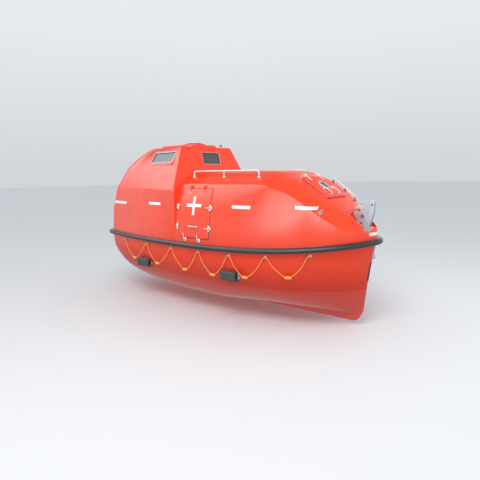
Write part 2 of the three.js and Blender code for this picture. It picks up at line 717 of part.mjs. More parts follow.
// A latch on its ear: the ear reaches out from the door's flange and carries the boss, and the
// lever points back over the door.
function latch({ x, z, turn }, side) {
  const frame = wallFrame(x, z, side).multiply(placed(0, 0, GROW, 0, 0, side > 0 ? Math.PI - turn : turn));
  const ear = block([90, 30, 24], frame.clone().multiply(placed(-33, 0, -6)));
  const boss = toSolid(
    new THREE.CylinderGeometry(15, 17, 30, 10),
    frame.clone().multiply(placed(0, 0, 9, Math.PI / 2)),
  );
  const lever = block([120, 15, 9], frame.clone().multiply(placed(-58, 0, 20, 0, -0.08, 0)));
  return join(ear, boss, lever);
}

const strapFrame = (x, side) => wallFrame(x, 2050, side).multiply(placed(0, 0, GROW));

[['port', 1], ['starboard', -1]].forEach(([name, side]) => {
  const door = join(
    doorFlange.intersect(doorHole(DOOR_LAP, side)),
    doorPlug.intersect(doorHole(-6, side)),
  );
  const straps = HINGE_X.map((x) => {
    const leaf = block([34, 110, 40], strapFrame(x, side).multiply(placed(0, 12, -8)));
    const knuckle = rod([x - 12, side * doorAxisY, DOOR_AXIS_Z], [x + 12, side * doorAxisY, DOOR_AXIS_Z], 11);
    const web = sidePlateAcross(x, side);
    return join(leaf.intersect(canopyForm(canopyStations, -GROW - 6, SEAT)), knuckle, web);
  });
  const handle = bentBar([
    [22, -12, 0], [22, -12, 40], [198, -12, 40], [198, -12, 0],
  ].map(([x, y, out]) => {
    const spot = new THREE.Vector3(x - 110, y, out + GROW + SEAT);
    return spot.applyMatrix4(wallFrame(110, 1492, side)).toArray();
  }), 8, 14, 8);
  const latches = LATCHES.map((spot) => latch(spot, side));
  const fittings = cut(join(...straps, ...latches), doorInnerSkin, pinBore(side));
  piece(`door_${name}`, join(door, fittings), ORANGE);
  piece(`door_handle_${name}`, cut(handle, doorFaceSkin), WHITE);
});

// The web that ties a strap's leaf to its knuckle, drawn in the Y-Z plane at x.
function sidePlateAcross(x, side) {
  const top = [doorAxisY, DOOR_AXIS_Z];
  const foot = sideY(x, 2092) + GROW;
  const outline = [[top[0] - 9, top[1]], [top[0] + 9, top[1]], [foot + 9, 2090], [foot - 2, 2090]];
  const shape = new THREE.Shape(outline.map(([y, z]) => new THREE.Vector2(side * y, z)));
  const plate = new THREE.ExtrudeGeometry(shape, { depth: 24, bevelEnabled: false });
  return toSolid(plate, new THREE.Matrix4().makeBasis(
    new THREE.Vector3(0, 1, 0), new THREE.Vector3(0, 0, 1), new THREE.Vector3(1, 0, 0),
  ).setPosition(x - 12, 0, 0));
}

function pinBore(side) {
  return rod([-100, side * doorAxisY, DOOR_AXIS_Z], [400, side * doorAxisY, DOOR_AXIS_Z], 5.6);
}

// Brackets on the canopy that carry a hinge pin each
function doorBracket(x, side) {
  const y = side * doorAxisY;
  const ears = [-20, 20].map((dx) => join(
    rod([x + dx - 7, y, DOOR_AXIS_Z], [x + dx + 7, y, DOOR_AXIS_Z], 11),
    bracketWeb(x + dx, side),
  ));
  const foot = block([54, 56, 24], wallFrame(x, DOOR_AXIS_Z + 36, side).multiply(placed(0, 8, -4)));
  const pin = rod([x - 27, y, DOOR_AXIS_Z], [x + 27, y, DOOR_AXIS_Z], 5);
  const solid = join(foot.intersect(canopyForm(canopyStations, -7, SEAT)), ...ears, pin);
  return cut(solid, canopyForm(canopyStations, 2, SEAT));
}

function bracketWeb(x, side) {
  const low = sideY(x, DOOR_AXIS_Z + 34);
  const outline = [
    [doorAxisY - 10, DOOR_AXIS_Z - 3], [doorAxisY + 10, DOOR_AXIS_Z + 3], [low + 5, DOOR_AXIS_Z + 52],
    [low - 6, DOOR_AXIS_Z + 20],
  ];
  const shape = new THREE.Shape(outline.map(([y, z]) => new THREE.Vector2(side * y, z)));
  const plate = new THREE.ExtrudeGeometry(shape, { depth: 14, bevelEnabled: false });
  return toSolid(plate, new THREE.Matrix4().makeBasis(
    new THREE.Vector3(0, 1, 0), new THREE.Vector3(0, 0, 1), new THREE.Vector3(1, 0, 0),
  ).setPosition(x - 7, 0, 0));
}

const doorBrackets = join(...HINGE_X.flatMap((x) => [doorBracket(x, 1), doorBracket(x, -1)]));

// Hatches: a lid on its coaming, hinged at the edge nearer the wheelhouse

const HATCH_AXIS = { out: COAMING + SEAT + LID + 2, back: 18 };

// `way` is 1 where the lid lies forward of its hinge and -1 where it lies aft of it.
function hatchHinges(frame, hatch, way, spread) {
  const edge = -way * (hatch.length / 2 + HATCH_AXIS.back);
  const at = (x, y, z) => frame.clone().multiply(placed(x, y, z));
  const along = (y0, y1, radius) => {
    const from = new THREE.Vector3(edge, y0, HATCH_AXIS.out).applyMatrix4(frame).toArray();
    const to = new THREE.Vector3(edge, y1, HATCH_AXIS.out).applyMatrix4(frame).toArray();
    return rod(from, to, radius);
  };
  const straps = [];
  const brackets = [];
  [-spread, spread].forEach((y) => {
    const top = COAMING + LID - 1;
    straps.push(cut(join(
      along(y - 12, y + 12, 11),
      block([130, 24, 9], at(edge + way * 65, y, top + 4.5)),
    ), along(y - 30, y + 30, 5.6)));
    brackets.push(join(
      along(y - 27, y - 13, 11),
      along(y + 13, y + 27, 11),
      along(y - 27, y + 27, 5),
      block([20, 14, 110], at(edge - way * 2, y - 20, HATCH_AXIS.out - 55)),
      block([20, 14, 110], at(edge - way * 2, y + 20, HATCH_AXIS.out - 55)),
    ));
  });
  return { straps: join(...straps), brackets: join(...brackets) };
}

const foreLid = hatchPlate(foreHatchFrame, FORE_HATCH.length, FORE_HATCH.width, COAMING + SEAT,
  COAMING + SEAT + LID);
const PORTHOLE = { x: -20, y: -30, r: 78 };
const portholeHole = toSolid(
  new THREE.CylinderGeometry(PORTHOLE.r, PORTHOLE.r, 120, 24),
  foreHatchFrame.clone().multiply(placed(PORTHOLE.x, PORTHOLE.y, COAMING, Math.PI / 2)),
);
const lidTop = COAMING + 2 * SEAT + LID;
piece('bow_hatch_porthole_rim', cut(toSolid(
  new THREE.CylinderGeometry(PORTHOLE.r + 26, PORTHOLE.r + 30, 14, 24),
  foreHatchFrame.clone().multiply(placed(PORTHOLE.x, PORTHOLE.y, lidTop + 7, Math.PI / 2)),
), portholeHole), WHITE);
piece('bow_hatch_porthole_pane', toSolid(
  new THREE.CylinderGeometry(PORTHOLE.r - SEAT, PORTHOLE.r - SEAT, 12, 24),
  foreHatchFrame.clone().multiply(placed(PORTHOLE.x, PORTHOLE.y, COAMING + LID, Math.PI / 2)),
), GLASS);

const foreHinges = hatchHinges(foreHatchFrame, FORE_HATCH, 1, 205);
const leverBar = (x, y) => bentBar([
  [x, y, 0], [x, y, 34], [x + 130, y, 34], [x + 165, y - 26, 34],
].map(([a, b, c]) => new THREE.Vector3(a, b, c + lidTop).applyMatrix4(foreHatchFrame).toArray()), 8, 12, 8);
piece('bow_hatch', join(cut(foreLid, portholeHole), foreHinges.straps), ORANGE);
piece('bow_hatch_lever_starboard', leverBar(60, -150), WHITE);
piece('bow_hatch_lever_port', leverBar(60, 120), WHITE);

const aftLid = hatchPlate(aftHatchFrame, AFT_HATCH.length, AFT_HATCH.width, COAMING + SEAT,
  COAMING + SEAT + LID);
const aftHinges = hatchHinges(aftHatchFrame, AFT_HATCH, -1, 160);
piece('stern_hatch', join(aftLid, aftHinges.straps), ORANGE);
piece('canopy', join(canopyShell, doorBrackets, foreHinges.brackets, aftHinges.brackets), ORANGE);

// Round roof hatch with its hinge on the after side

const roofLid = toSolid(new THREE.LatheGeometry([
  [0, 0], [ROOF_HATCH.radius, 0], [ROOF_HATCH.radius, 26], [ROOF_HATCH.radius - 22, 38],
  [ROOF_HATCH.radius * 0.5, 62], [0, 70],
].map(([r, z]) => new THREE.Vector2(r, z)), 28), placed(ROOF_HATCH.x, 0, ROOF_HATCH.z + SEAT, Math.PI / 2));
const roofAxis = { x: ROOF_HATCH.x - ROOF_HATCH.radius - 22, z: ROOF_HATCH.z + 26 };
const roofArm = join(
  box(roofAxis.x, ROOF_HATCH.x - ROOF_HATCH.radius + 30, -12, 12, ROOF_HATCH.z + 18, ROOF_HATCH.z + 27),
  rod([roofAxis.x, -12, roofAxis.z], [roofAxis.x, 12, roofAxis.z], 11),
);
piece('roof_hatch', cut(join(roofLid, roofArm),
  rod([roofAxis.x, -40, roofAxis.z], [roofAxis.x, 40, roofAxis.z], 5.6)), WHITE);
piece('roof_hatch_bracket', join(
  rod([roofAxis.x, -27, roofAxis.z], [roofAxis.x, 27, roofAxis.z], 5),
  ...[-20, 20].map((y) => join(
    rod([roofAxis.x, y - 7, roofAxis.z], [roofAxis.x, y + 7, roofAxis.z], 11),
    box(roofAxis.x - 16, roofAxis.x + 4, y - 7, y + 7, ROOF_HATCH.z + SEAT, roofAxis.z),
  )),
), WHITE);

// Lifting hooks: a cheek plate with a blade, and the hook that turns on its pin

const CHEEK_GAP = 17;          // from the hook's middle plane to the cheeks' inner faces

// Outlines are drawn for the bow; `way` turns them end for end and `lift` raises them aft.
function hookSet(name, way, lift) {
  const turned = (points) => points.map(([x, z]) => [way * x, z + lift]);
  const cheek = turned([
    [2560, 1478.3], [2868, 1478.3], [2868, 1500], [2800, 1520], [2868, 1750], [2876, 1935],
    [2858, 1948], [2806, 1944], [2735, 1800], [2690, 1770], [2660, 1660], [2560, 1600],
  ]);
  const plate = (y0, y1) => sidePlate(cheek, y0, y1);
  const base = way > 0 ? [2560, 2868] : [-2868, -2560];
  const foot = 1478.3 + lift;
  const frame = join(
    plate(CHEEK_GAP, CHEEK_GAP + 12), plate(-CHEEK_GAP - 12, -CHEEK_GAP),
    box(base[0], base[1], -70, 70, foot, foot + 14),
    box(Math.min(way * 2770, way * 2868), Math.max(way * 2770, way * 2868), -14, 14, foot, foot + 60),
  );
  const across = (half, radius) => rod(
    [way * HOOK_PIN.x, -half, HOOK_PIN.z + lift],
    [way * HOOK_PIN.x, half, HOOK_PIN.z + lift],
    radius, 16,
  );
  const pin = across(40, HOOK_PIN.radius);
  piece(`${name}_hook_frame`, join(frame, pin), GALVANISED);
  const lobe = turned([
    [2722, 1700], [2700, 1760], [2708, 1830], [2690, 1862], [2640, 1876], [2585, 1860], [2548, 1810],
    [2538, 1745], [2552, 1690], [2590, 1640], [2640, 1622], [2690, 1640],
  ]);
  const [[slotX, slotZ]] = turned([[2625, 1790]]);
  const jaw = cut(sidePlate(lobe, -12, 12), rod([slotX, -20, slotZ], [slotX, 20, slotZ], 30, 16));
  const mouth = sidePlate(
    turned([[2560, 1812], [2625, 1812], [2625, 1768], [2530, 1768], [2500, 1812]]), -20, 20);
  piece(`${name}_hook`, cut(jaw, mouth, across(50, HOOK_PIN.radius + RUNNING)), GALVANISED);
}

hookSet('bow', 1, 0);
hookSet('stern', -1, 42);

// Rudder and propeller

piece('rudder', join(
  sidePlate([[-2850, 160], [-2530, 160], [-2545, 540], [-2800, 560]], -18, 18),
  rod([RUDDER_X, 0, 540], [RUDDER_X, 0, 632], STOCK_R, 16),
  rod([RUDDER_X, 0, 96], [RUDDER_X, 0, 170], PINTLE_R, 16),
), ORANGE);

const BLADE = { middle: 112, across: 62, along: 82, sides: 16, thick: 9, pitch: 0.6 };
const bladeShape = new THREE.Shape(Array.from({ length: BLADE.sides }, (_, k) => {
  const angle = (2 * Math.PI * k) / BLADE.sides;
  return new THREE.Vector2(BLADE.across * Math.cos(angle), BLADE.middle + BLADE.along * Math.sin(angle));
}));
const blade = (angle) => {
  const outline = new THREE.ExtrudeGeometry(bladeShape, { depth: BLADE.thick, bevelEnabled: false });
  const pitched = placed(0, 0, 0, 0, 0, BLADE.pitch)
    .multiply(placed(0, 0, 0, Math.PI / 2))
    .multiply(placed(0, 0, -BLADE.thick / 2));
  const spun = placed(PROP_X, 0, PROP_Z, angle, 0, 0);
  return toSolid(outline, spun.multiply(placed(0, 0, 0, 0, 0, Math.PI / 2)).multiply(pitched));
};
piece('propeller', join(
  rod([PROP_X - 55, 0, PROP_Z], [PROP_X + 60, 0, PROP_Z], 42, 16),
  rod([PROP_X - 95, 0, PROP_Z], [PROP_X - 50, 0, PROP_Z], 24, 12),
  rod([PROP_X, 0, PROP_Z], [-2130, 0, PROP_Z], SHAFT_R, 16),
  blade(0), blade((2 * Math.PI) / 3), blade((4 * Math.PI) / 3),
), BRONZE);

// Rails: x of the feet, y, and the height of the bar

function rail(feet, y, top, ends) {
  const bar = bentBar([
    [feet[0], y, deckZ(feet[0], y) + SEAT + 4], [feet[0], y, top],
    [feet[feet.length - 1] + ends, y, top],
    [feet[feet.length - 1] + ends, y, deckZ(feet[feet.length - 1], y) + SEAT + 4],
  ], 13, 30, 10);
  const posts = feet.slice(1, -1).map((x) => rod([x, y, deckZ(x, y)], [x, y, top], 10));
  const flanges = feet.map((x) => rod([x, y, deckZ(x, y) - 20], [x, y, deckZ(x, y) + 16], 26));
  return seated(join(bar, ...posts, ...flanges));
}

piece('handrail_starboard', rail([-215, 490, 1232], -720, 2420, 0), WHITE);
piece('handrail_port', rail([-215, 490, 1232], 720, 2420, 0), WHITE);
const foreRail = [[1900, 560], [2110, 590], [2330, 500]];
const foreRailTop = foreRail.map(([x, y]) => [x, y, deckZ(x, y) + 60]);
const barBetween = (a, b) => rod(a, b, 11, 10);
piece('foredeck_rail', seated(join(
  barBetween(foreRailTop[0], foreRailTop[1]), barBetween(foreRailTop[1], foreRailTop[2]),
  ...foreRail.map(([x, y]) => rod([x, y, deckZ(x, y) - 30], [x, y, deckZ(x, y) + 66], 9)),
)), WHITE);

// Grab line: eyes on the hull, the line in loops and a float on each loop

const EYES = [
  [-2090, -962, 1052], [-1220, -1099, 1052], [-447, -1160, 1052], [242, -1172, 1052],
  [922, -1162, 1068], [1600, -1092, 1105], [2248, -868, 1158],
];
const ROPE_R = 7;
const LOOPS = [
  [-1700, 715], [-879, 714], [-90, 706], [574, 701], [1232, 742], [1945, 806],
];

// Hand-set route of the starboard line, from the aft eye to the forward one.
const ROUTE = [];
EYES.forEach(([x, y, z], i) => {
  if (i > 0) {
    const [px, py, pz] = EYES[i - 1];
    const [lx, lz] = LOOPS[i - 1];
    const ly = py + ((y - py) * (lx - px)) / (x - px);
    ROUTE.push([px + 28, py, pz - 16]);
    ROUTE.push([px + (lx - px) * 0.42, py + (ly - py) * 0.42, lz + (pz - lz) * 0.42]);
    ROUTE.push([lx, ly, lz]);
    ROUTE.push([x - (x - lx) * 0.42, y - (y - ly) * 0.42, lz + (z - lz) * 0.42]);
    ROUTE.push([x - 28, y, z - 16]);
  }
  ROUTE.push([x, y, z]);
});

const routeCurve = new THREE.CatmullRomCurve3(
  ROUTE.map((p) => new THREE.Vector3(...p)), false, 'centripetal');
const ROPE_STEPS = 72;
const ROPE_SIDES = 8;
const ropePath = routeCurve.getSpacedPoints(ROPE_STEPS);

function ropeOf(radius) {
  const section = new THREE.Shape(Array.from({ length: ROPE_SIDES }, (_, k) => {
    const angle = (2 * Math.PI * k) / ROPE_SIDES;
    return new THREE.Vector2(radius * Math.cos(angle), radius * Math.sin(angle));
  }));
  return toSolid(new THREE.ExtrudeGeometry(section, {
    steps: ROPE_STEPS, extrudePath: routeCurve, bevelEnabled: false,
  }));
}

const rope = ropeOf(ROPE_R);
const ropeSleeve = ropeOf(ROPE_R + 2 * SEAT);
const eye = ([x, y, z]) => {
  const hullY = -sideY(x, z - 4);
  return cut(join(
    rod([x - 9, y, z], [x + 9, y, z], 17),
    box(x - 9, x + 9, y, hullY + 8, z - 9, z + 9),
    box(x - 22, x + 22, hullY - 7, hullY + 12, z - 26, z + 26),
  ), ropeSleeve);
};
const eyes = join(...EYES.map(eye));
const floats = join(...LOOPS.map(([lx]) => {
  const near = ropePath.reduce((best, p, i) =>
    (Math.abs(p.x - lx) < Math.abs(ropePath[best].x - lx) && p.z < 900 ? i : best), 0);
  const middle = ropePath[near];
  const along = ropePath[near + 1].clone().sub(ropePath[near - 1]).normalize();
  const from = middle.clone().addScaledVector(along, -55);
  const to = middle.clone().addScaledVector(along, 55);
  return rod(from.toArray(), to.toArray(), 24);
}));
const line = join(rope, floats);
piece('grab_line_starboard', line, ROPE);
piece('grab_line_port', mirrored(line), ROPE);
piece('hull', join(hull, bothSides(eyes)), ORANGE);

// Rubber blocks on the hull's sides with their steel brackets

const BLOCKS = [[-1345, 592], [912, 646]];
const BLOCK = { length: 322, height: 160, reach: 112, wall: 34 };
BLOCKS.forEach(([x, low], i) => {
  const high = low + BLOCK.height;
  const middle = low + BLOCK.height / 2;
  const face = -(sideY(x, middle) + BLOCK.reach);
  const half = BLOCK.length / 2;
  const body = box(x - half, x + half, face, -900, low, high);
  const bore = box(x - 300, x + 300, face + BLOCK.wall, face + BLOCK.wall + 55,
    low + BLOCK.wall, high - BLOCK.wall);
  const brackets = [-1, 1].map((end) => {
    const [near, far] = [x + end * (half - 1), x + end * (half + 12)];
    return box(Math.min(near, far), Math.max(near, far), face + BLOCK.wall + 55, -900,
      middle - 55, middle + 55);
  });
  const solid = seated(cut(join(body, ...brackets), bore));
  const place = ['aft', 'fore'][i];
  piece(`block_fender_${place}_starboard`, solid, RUBBER);
  piece(`block_fender_${place}_port`, mirrored(solid), RUBBER);
});

// Small fittings: mooring cleats, lamp, stem eye and stem strip

const cleat = (x, y, z, yaw) => {
  const at = (a, b, c) => new THREE.Vector3(a, b, c).applyMatrix4(placed(x, y, z, 0, 0, yaw)).toArray();
  return join(rod(at(-60, 0, 34), at(60, 0, 34), 9), rod(at(-22, 0, -40), at(-22, 0, 34), 9),
    rod(at(22, 0, -40), at(22, 0, 34), 9));
};
const bowCleat = seated(cleat(2357, -745, 1760, 0.5));
piece('cleat_bow_starboard', bowCleat, GALVANISED);
piece('cleat_bow_port', mirrored(bowCleat), GALVANISED);

piece('roof_lamp', seated(join(
  rod([-620, 480, 2850], [-620, 480, 2912], 30, 16),
  toSolid(new THREE.CylinderGeometry(12, 26, 50, 16), placed(-620, 480, 2936, Math.PI / 2)),
)), WHITE);

piece('stem_eye', seated(cut(
  sidePlate([[2780, 1040], [stemX(1040) + 25, 1040], [stemX(1083) + 60, 1060], [stemX(1083) + 60, 1106],
    [stemX(1126) + 25, 1126], [2780, 1126]], -9, 9),
  rod([stemX(1083) + 33, -30, 1083], [stemX(1083) + 33, 30, 1083], 13),
  keelSeat,
)), GALVANISED);
piece('stem_strip', cut(
  sidePlate([[2700, 690], ...[690, 810, 900, 990].map((z) => [stemX(z) + STEM_NOSE + 8, z]), [2700, 990]],
    -20, 20),
  keelSeat, outside,
), GALVANISED);

export default lifeboat;
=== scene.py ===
import json
import math

import bmesh
import bpy
import numpy as np
from bpy.props import FloatProperty, FloatVectorProperty, IntProperty, PointerProperty
from mathutils import Matrix, Vector
from mathutils.bvhtree import BVHTree

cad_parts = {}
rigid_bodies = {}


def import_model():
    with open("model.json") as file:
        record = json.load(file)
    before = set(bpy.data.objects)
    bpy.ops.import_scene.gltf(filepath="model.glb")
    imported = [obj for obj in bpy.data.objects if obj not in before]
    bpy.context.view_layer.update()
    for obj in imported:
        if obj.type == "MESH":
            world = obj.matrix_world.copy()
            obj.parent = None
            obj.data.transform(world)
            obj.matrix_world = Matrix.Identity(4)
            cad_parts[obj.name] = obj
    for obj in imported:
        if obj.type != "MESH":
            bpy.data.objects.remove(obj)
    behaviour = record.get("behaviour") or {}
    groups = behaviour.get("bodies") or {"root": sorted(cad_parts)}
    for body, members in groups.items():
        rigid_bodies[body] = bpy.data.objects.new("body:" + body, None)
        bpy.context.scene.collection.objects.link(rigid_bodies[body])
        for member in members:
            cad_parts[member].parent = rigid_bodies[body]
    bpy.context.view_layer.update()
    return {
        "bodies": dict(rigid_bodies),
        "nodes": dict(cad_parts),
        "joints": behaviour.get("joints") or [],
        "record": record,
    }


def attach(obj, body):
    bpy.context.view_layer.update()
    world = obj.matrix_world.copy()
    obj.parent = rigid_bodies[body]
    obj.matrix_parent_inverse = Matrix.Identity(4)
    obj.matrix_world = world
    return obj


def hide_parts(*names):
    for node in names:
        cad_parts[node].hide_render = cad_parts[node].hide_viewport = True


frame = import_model()

bl_info = {
    "name": "Enclosed Lifeboat",
    "version": (1, 0, 0),
    "blender": (4, 5, 0),
    "location": "3D Viewport > Sidebar > Lifeboat",
    "description": "Builds the shell, fittings, grab lines and finishes of an enclosed lifeboat",
    "category": "Object",
}

# Every length below is in millimetres, and heights run from the bottom of the keel, as on the
# boat's drawing. metres() turns them into the frame's metres above the waterline.
DRAUGHT = 550.0
# The gunwale seen from above: its ends, its widest place and the corners of the stern.
BOW_X, STERN_X, WIDEST_X, BEAM_HALF = 2950.0, -2985.0, 53.0, 1180.0
QUARTER_X, QUARTER_TAPER, CORNER_X = -2600.0, 323.0, -2650.0
GUNWALE_Z, BOW_RISE, SHELL_INSET = 1148.0, 177.0, 40.0
FENDER_R = 45.0
HULL_WALL, CANOPY_WALL = 60.0, 50.0
FORE_END, NOSE_END, AFT_END = 2898.0, 2909.6, -2943.0
LEAN_START, STEM_LEAN, STEM_CURVE = 1400.0, 152.0, 0.741
HOUSE_FRONT = -352.0
KEEL_HALF = 38.0
PROP_X, PROP_Z, RUDDER_X = -2330.0, 345.0, -2610.0
# A doorway, how far the door laps over it and stands out of the wall, and the door's hinges.
DOOR_MIDDLE, DOOR_HALF, DOOR_LAP, DOOR_OUT = (114.0, 1702.0), (336.0, 398.0), 22.0, 12.0
DOOR_AXIS_Y, DOOR_AXIS_Z, HINGE_X = 984.7, 2142.0, (-40.0, 270.0)
KNUCKLE_R, PIN_R = 11, 5

# x at the gunwale, height of the rounded bottom, roundness of the section
HULL_ROWS = [
    (-2943, 640, 2.35), (-2915, 600, 2.4), (-2840, 530, 2.5), (-2705, 450, 2.6), (-2550, 370, 2.75),
    (-2330, 293, 2.95), (-2100, 228, 2.85), (-1550, 124, 2.6), (-1100, 86, 2.55), (-450, 61, 2.55),
    (200, 60, 2.55), (620, 92, 2.55), (1030, 125, 2.5), (1340, 140, 2.4), (1800, 130, 2.15),
    (2150, 115, 1.9), (2450, 95, 1.65), (2650, 80, 1.5), (2780, 80, 1.4), (2860, 105, 1.35),
    (2898, 150, 1.3),
]
# x, knuckle y and z, edge of the top y and z, ridge z
CANOPY_ROWS = [
    (-700, 930, 2200, 500, 2415, 2432), (-100, 935, 2200, 500, 2415, 2432),
    (700, 938, 2200, 500, 2415, 2432), (1300, 932, 2200, 500, 2412, 2428),
    (1500, 930, 2188, 540, 2384, 2400), (1640, 918, 2162, 590, 2320, 2338),
    (1780, 905, 2118, 620, 2262, 2280), (1935, 893, 2040, 640, 2175, 2192),
    (2110, 868, 1930, 640, 2052, 2070), (2250, 826, 1822, 605, 1955, 1976),
    (2440, 712, 1672, 500, 1815, 1842), (2580, 590, 1572, 390, 1722, 1745),
    (2700, 455, 1505, 290, 1635, 1655), (2800, 335, 1490, 200, 1562, 1580),
    (2860, 236, 1487, 130, 1528, 1540), (2898, 140, 1488, 70, 1516, 1525),
]
# z, front x, front half width, x where the aft corner starts, half width there, stern x, squareness
HOUSE_ROWS = [
    (1148, -352, 1133, -2550, 826, -2943, 2.6), (1650, -352, 1132, -2545, 800, -2885, 2.6),
    (2095, -350, 1128, -2425, 750, -2800, 2.6), (2300, -400, 1016, -2250, 712, -2640, 2.6),
    (2530, -456, 892, -2040, 655, -2490, 2.6), (2740, -508, 778, -1800, 548, -2200, 2.6),
    (2860, -536, 715, -1600, 462, -1880, 3), (2890, -552, 690, -1580, 440, -1850, 3),
]
# How far the wheelhouse is rounded at each level
HOUSE_ROUNDING = (1, 120, 30, 55, 42, 90, 14, 1)
FRONT_LEAN = math.atan2(189, 780)
SECTION_STEPS = 30          # of one side of a hull section
ARC_STEPS, EDGE_STEPS = 6, 6  # points on a panel's corner, and between two corners


# ---- Meshes ----


def metres(points):
    """Drawing millimetres as frame metres."""
    return (np.asarray(points, float) - (0, 0, DRAUGHT)) * 0.001


def loft(rings, closed=False, ends="flat"):
    """A skin through rings of equally many points. ends is flat or strips."""
    rings = np.asarray(rings, float)
    count, size = rings.shape[:2]
    faces = []
    for i in range(count if closed else count - 1):
        j = (i + 1) % count
        faces += [
            (i * size + k, i * size + (k + 1) % size, j * size + (k + 1) % size, j * size + k)
            for k in range(size)
        ]
    if not closed:
        for start in (0, (count - 1) * size):
            if ends == "flat":
                faces.append(tuple(range(start, start + size)))
                continue
            for k in range((size - 1) // 2):
                a, b = start + k, start + k + 1
                c, d = start + size - 2 - k, start + size - 1 - k
                faces.append((a, b, c, d) if b != c else (a, b, d))
    return rings.reshape(-1, 3), faces


def joined(*parts):
    """Several parts as one."""
    verts, faces, start = [], [], 0
    for points, sides in parts:
        verts.append(np.asarray(points, float))
        faces += [tuple(start + k for k in side) for side in sides]
        start += len(points)
    return np.concatenate(verts), faces


def placed(part, matrix):
    """A part moved by a 4 x 4 matrix."""
    points, faces = part
    m = np.array(matrix, float)
    return np.asarray(points, float) @ m[:3, :3].T + m[:3, 3], faces


def mirrored(part):
    """A part on the other side of the centre plane."""
    points, faces = part
    return np.asarray(points, float) * (1, -1, 1), faces


def on_side(part, side):
    """A starboard part, or its mirror image to port."""
    return mirrored(part) if side > 0 else part


def at(x, y, z, rx=0.0, ry=0.0, rz=0.0):
    """A place with turns about X, then Y, then Z."""
    turn = Matrix.Rotation(rx, 4, "X") @ Matrix.Rotation(ry, 4, "Y") @ Matrix.Rotation(rz, 4, "Z")
    return Matrix.Translation((x, y, z)) @ turn


def axes_at(axes, origin):
    """A place from its three axes."""
    m = Matrix(axes).transposed().to_4x4()
    m.translation = origin
    return m


def prism(outline, low, high, edge=0.0):
    """A flat outline in the XY plane raised from low to high, with its edges rounded."""
    bm = bmesh.new()
    face = bm.faces.new([bm.verts.new((x, y, low)) for x, y in outline])
    raised = bmesh.ops.extrude_face_region(bm, geom=[face])["geom"]
    bmesh.ops.translate(
        bm, vec=(0, 0, high - low), verts=[v for v in raised if isinstance(v, bmesh.types.BMVert)])
    if edge:
        sharp = [e for e in bm.edges if e.calc_face_angle(0) > 0.4]
        bmesh.ops.bevel(
            bm, geom=sharp, offset=edge, segments=2, profile=0.5, affect="EDGES",
            clamp_overlap=True)
    bm.verts.index_update()
    part = np.array([v.co for v in bm.verts]), [tuple(v.index for v in f.verts) for f in bm.faces]
    bm.free()
    return part


def side_prism(outline, y0, y1, edge=0.0):
    """An outline in the X-Z plane from y0 to y1."""
    points, faces = prism(outline, y0, y1, edge)
    return points[:, [0, 2, 1]], faces


def box(x0, x1, y0, y1, z0, z1, edge=0.0):
    """A box from its corners, with its edges rounded."""
    return prism([(x0, y0), (x1, y0), (x1, y1), (x0, y1)], z0, z1, edge)


def level_ring(line, z):
    """A line of x and y at one height."""
    return np.column_stack([line, np.full(len(line), float(z))])


def station_ring(line, x):
    """A line of y and height at one station."""
    return np.column_stack([np.full(len(line), float(x)), line])


def full_turn(count):
    """Even angles all round."""
    return np.linspace(0, 2 * math.pi, count, endpoint=False)


def circle(radius, sides):
    """Points of a circle in the XY plane."""
    angle = full_turn(sides)
    return np.stack([radius * np.cos(angle), radius * np.sin(angle)], 1)


def turned(profile, sides):
    """A profile of radius and height turned about Z. A radius of 0 closes it."""
    return loft([level_ring(circle(max(r, 0.01), sides), z) for r, z in profile])


def hoop(profile, sides):
    """A closed profile of radius and height turned about Z, open in the middle."""
    return loft([level_ring(circle(r, sides), z) for r, z in profile], closed=True)


def bar(path, radius, sides=12, closed=False, wave=None):
    """A round bar along a path. wave(ring number, angles) scales the radius round each ring."""
    path = np.asarray(path, float)
    count = len(path)
    if closed:
        tangent = np.roll(path, -1, 0) - np.roll(path, 1, 0)
    else:
        tangent = np.gradient(path, axis=0)
    tangent /= np.linalg.norm(tangent, axis=1)[:, None]
    side = np.cross((0, 0, 1), tangent[0])
    if np.linalg.norm(side) < 0.1:
        side = np.cross((0, 1, 0), tangent[0])
    angle = full_turn(sides)
    rings = []
    for i in range(count):
        side = side - tangent[i] * (side @ tangent[i])
        side /= np.linalg.norm(side)
        up = np.cross(tangent[i], side)
        r = radius * (wave(i, angle) if wave else np.ones(sides))
        rings.append(
            path[i] + np.outer(r * np.cos(angle), side) + np.outer(r * np.sin(angle), up))
    return loft(rings, closed)


def rod(start, end, radius, sides=24):
    """A straight round bar."""
    return bar([start, end], radius, sides)


def cross_rod(x, z, half, radius, sides=24, middle=0):
    """A straight round bar across the boat."""
    return rod((x, middle - half, z), (x, middle + half, z), radius, sides)


def rounded(points, reach, steps, along=None, ring=False):
    """A line whose corners are rounded, each over its reach. along measures the line where it is
    given."""
    p = np.asarray(points, float)
    n = len(p)
    reach = np.broadcast_to(reach, n)
    out = []
    for i in range(n):
        if not ring and i in (0, n - 1) or reach[i] <= 0:
            out.append(p[i])
            continue
        before, after = p[i - 1] - p[i], p[(i + 1) % n] - p[i]
        if along is None:
            first, second = np.linalg.norm(before), np.linalg.norm(after)
        else:
            first, second = abs(along[i] - along[i - 1]), abs(along[i + 1] - along[i])
        a = p[i] + before * min(0.48, reach[i] / first)
        b = p[i] + after * min(0.48, reach[i] / second)
        for t in np.linspace(0, 1, steps):
            out.append((1 - t) ** 2 * a + 2 * t * (1 - t) * p[i] + t * t * b)
    return np.array(out)


def divided(points, longest, along):
    """A line with points added, so that no step of along is over longest."""
    out = [points[0]]
    for i in range(1, len(points)):
        steps = max(1, math.ceil(abs(along[i] - along[i - 1]) / longest))
        for k in range(1, steps + 1):
            out.append(points[i - 1] + (points[i] - points[i - 1]) * (k / steps))
    return np.array(out)


def bent(points, radius, corner, sides):
    """A bar through points with rounded bends."""
    return bar(rounded(points, corner, 6), radius, sides)


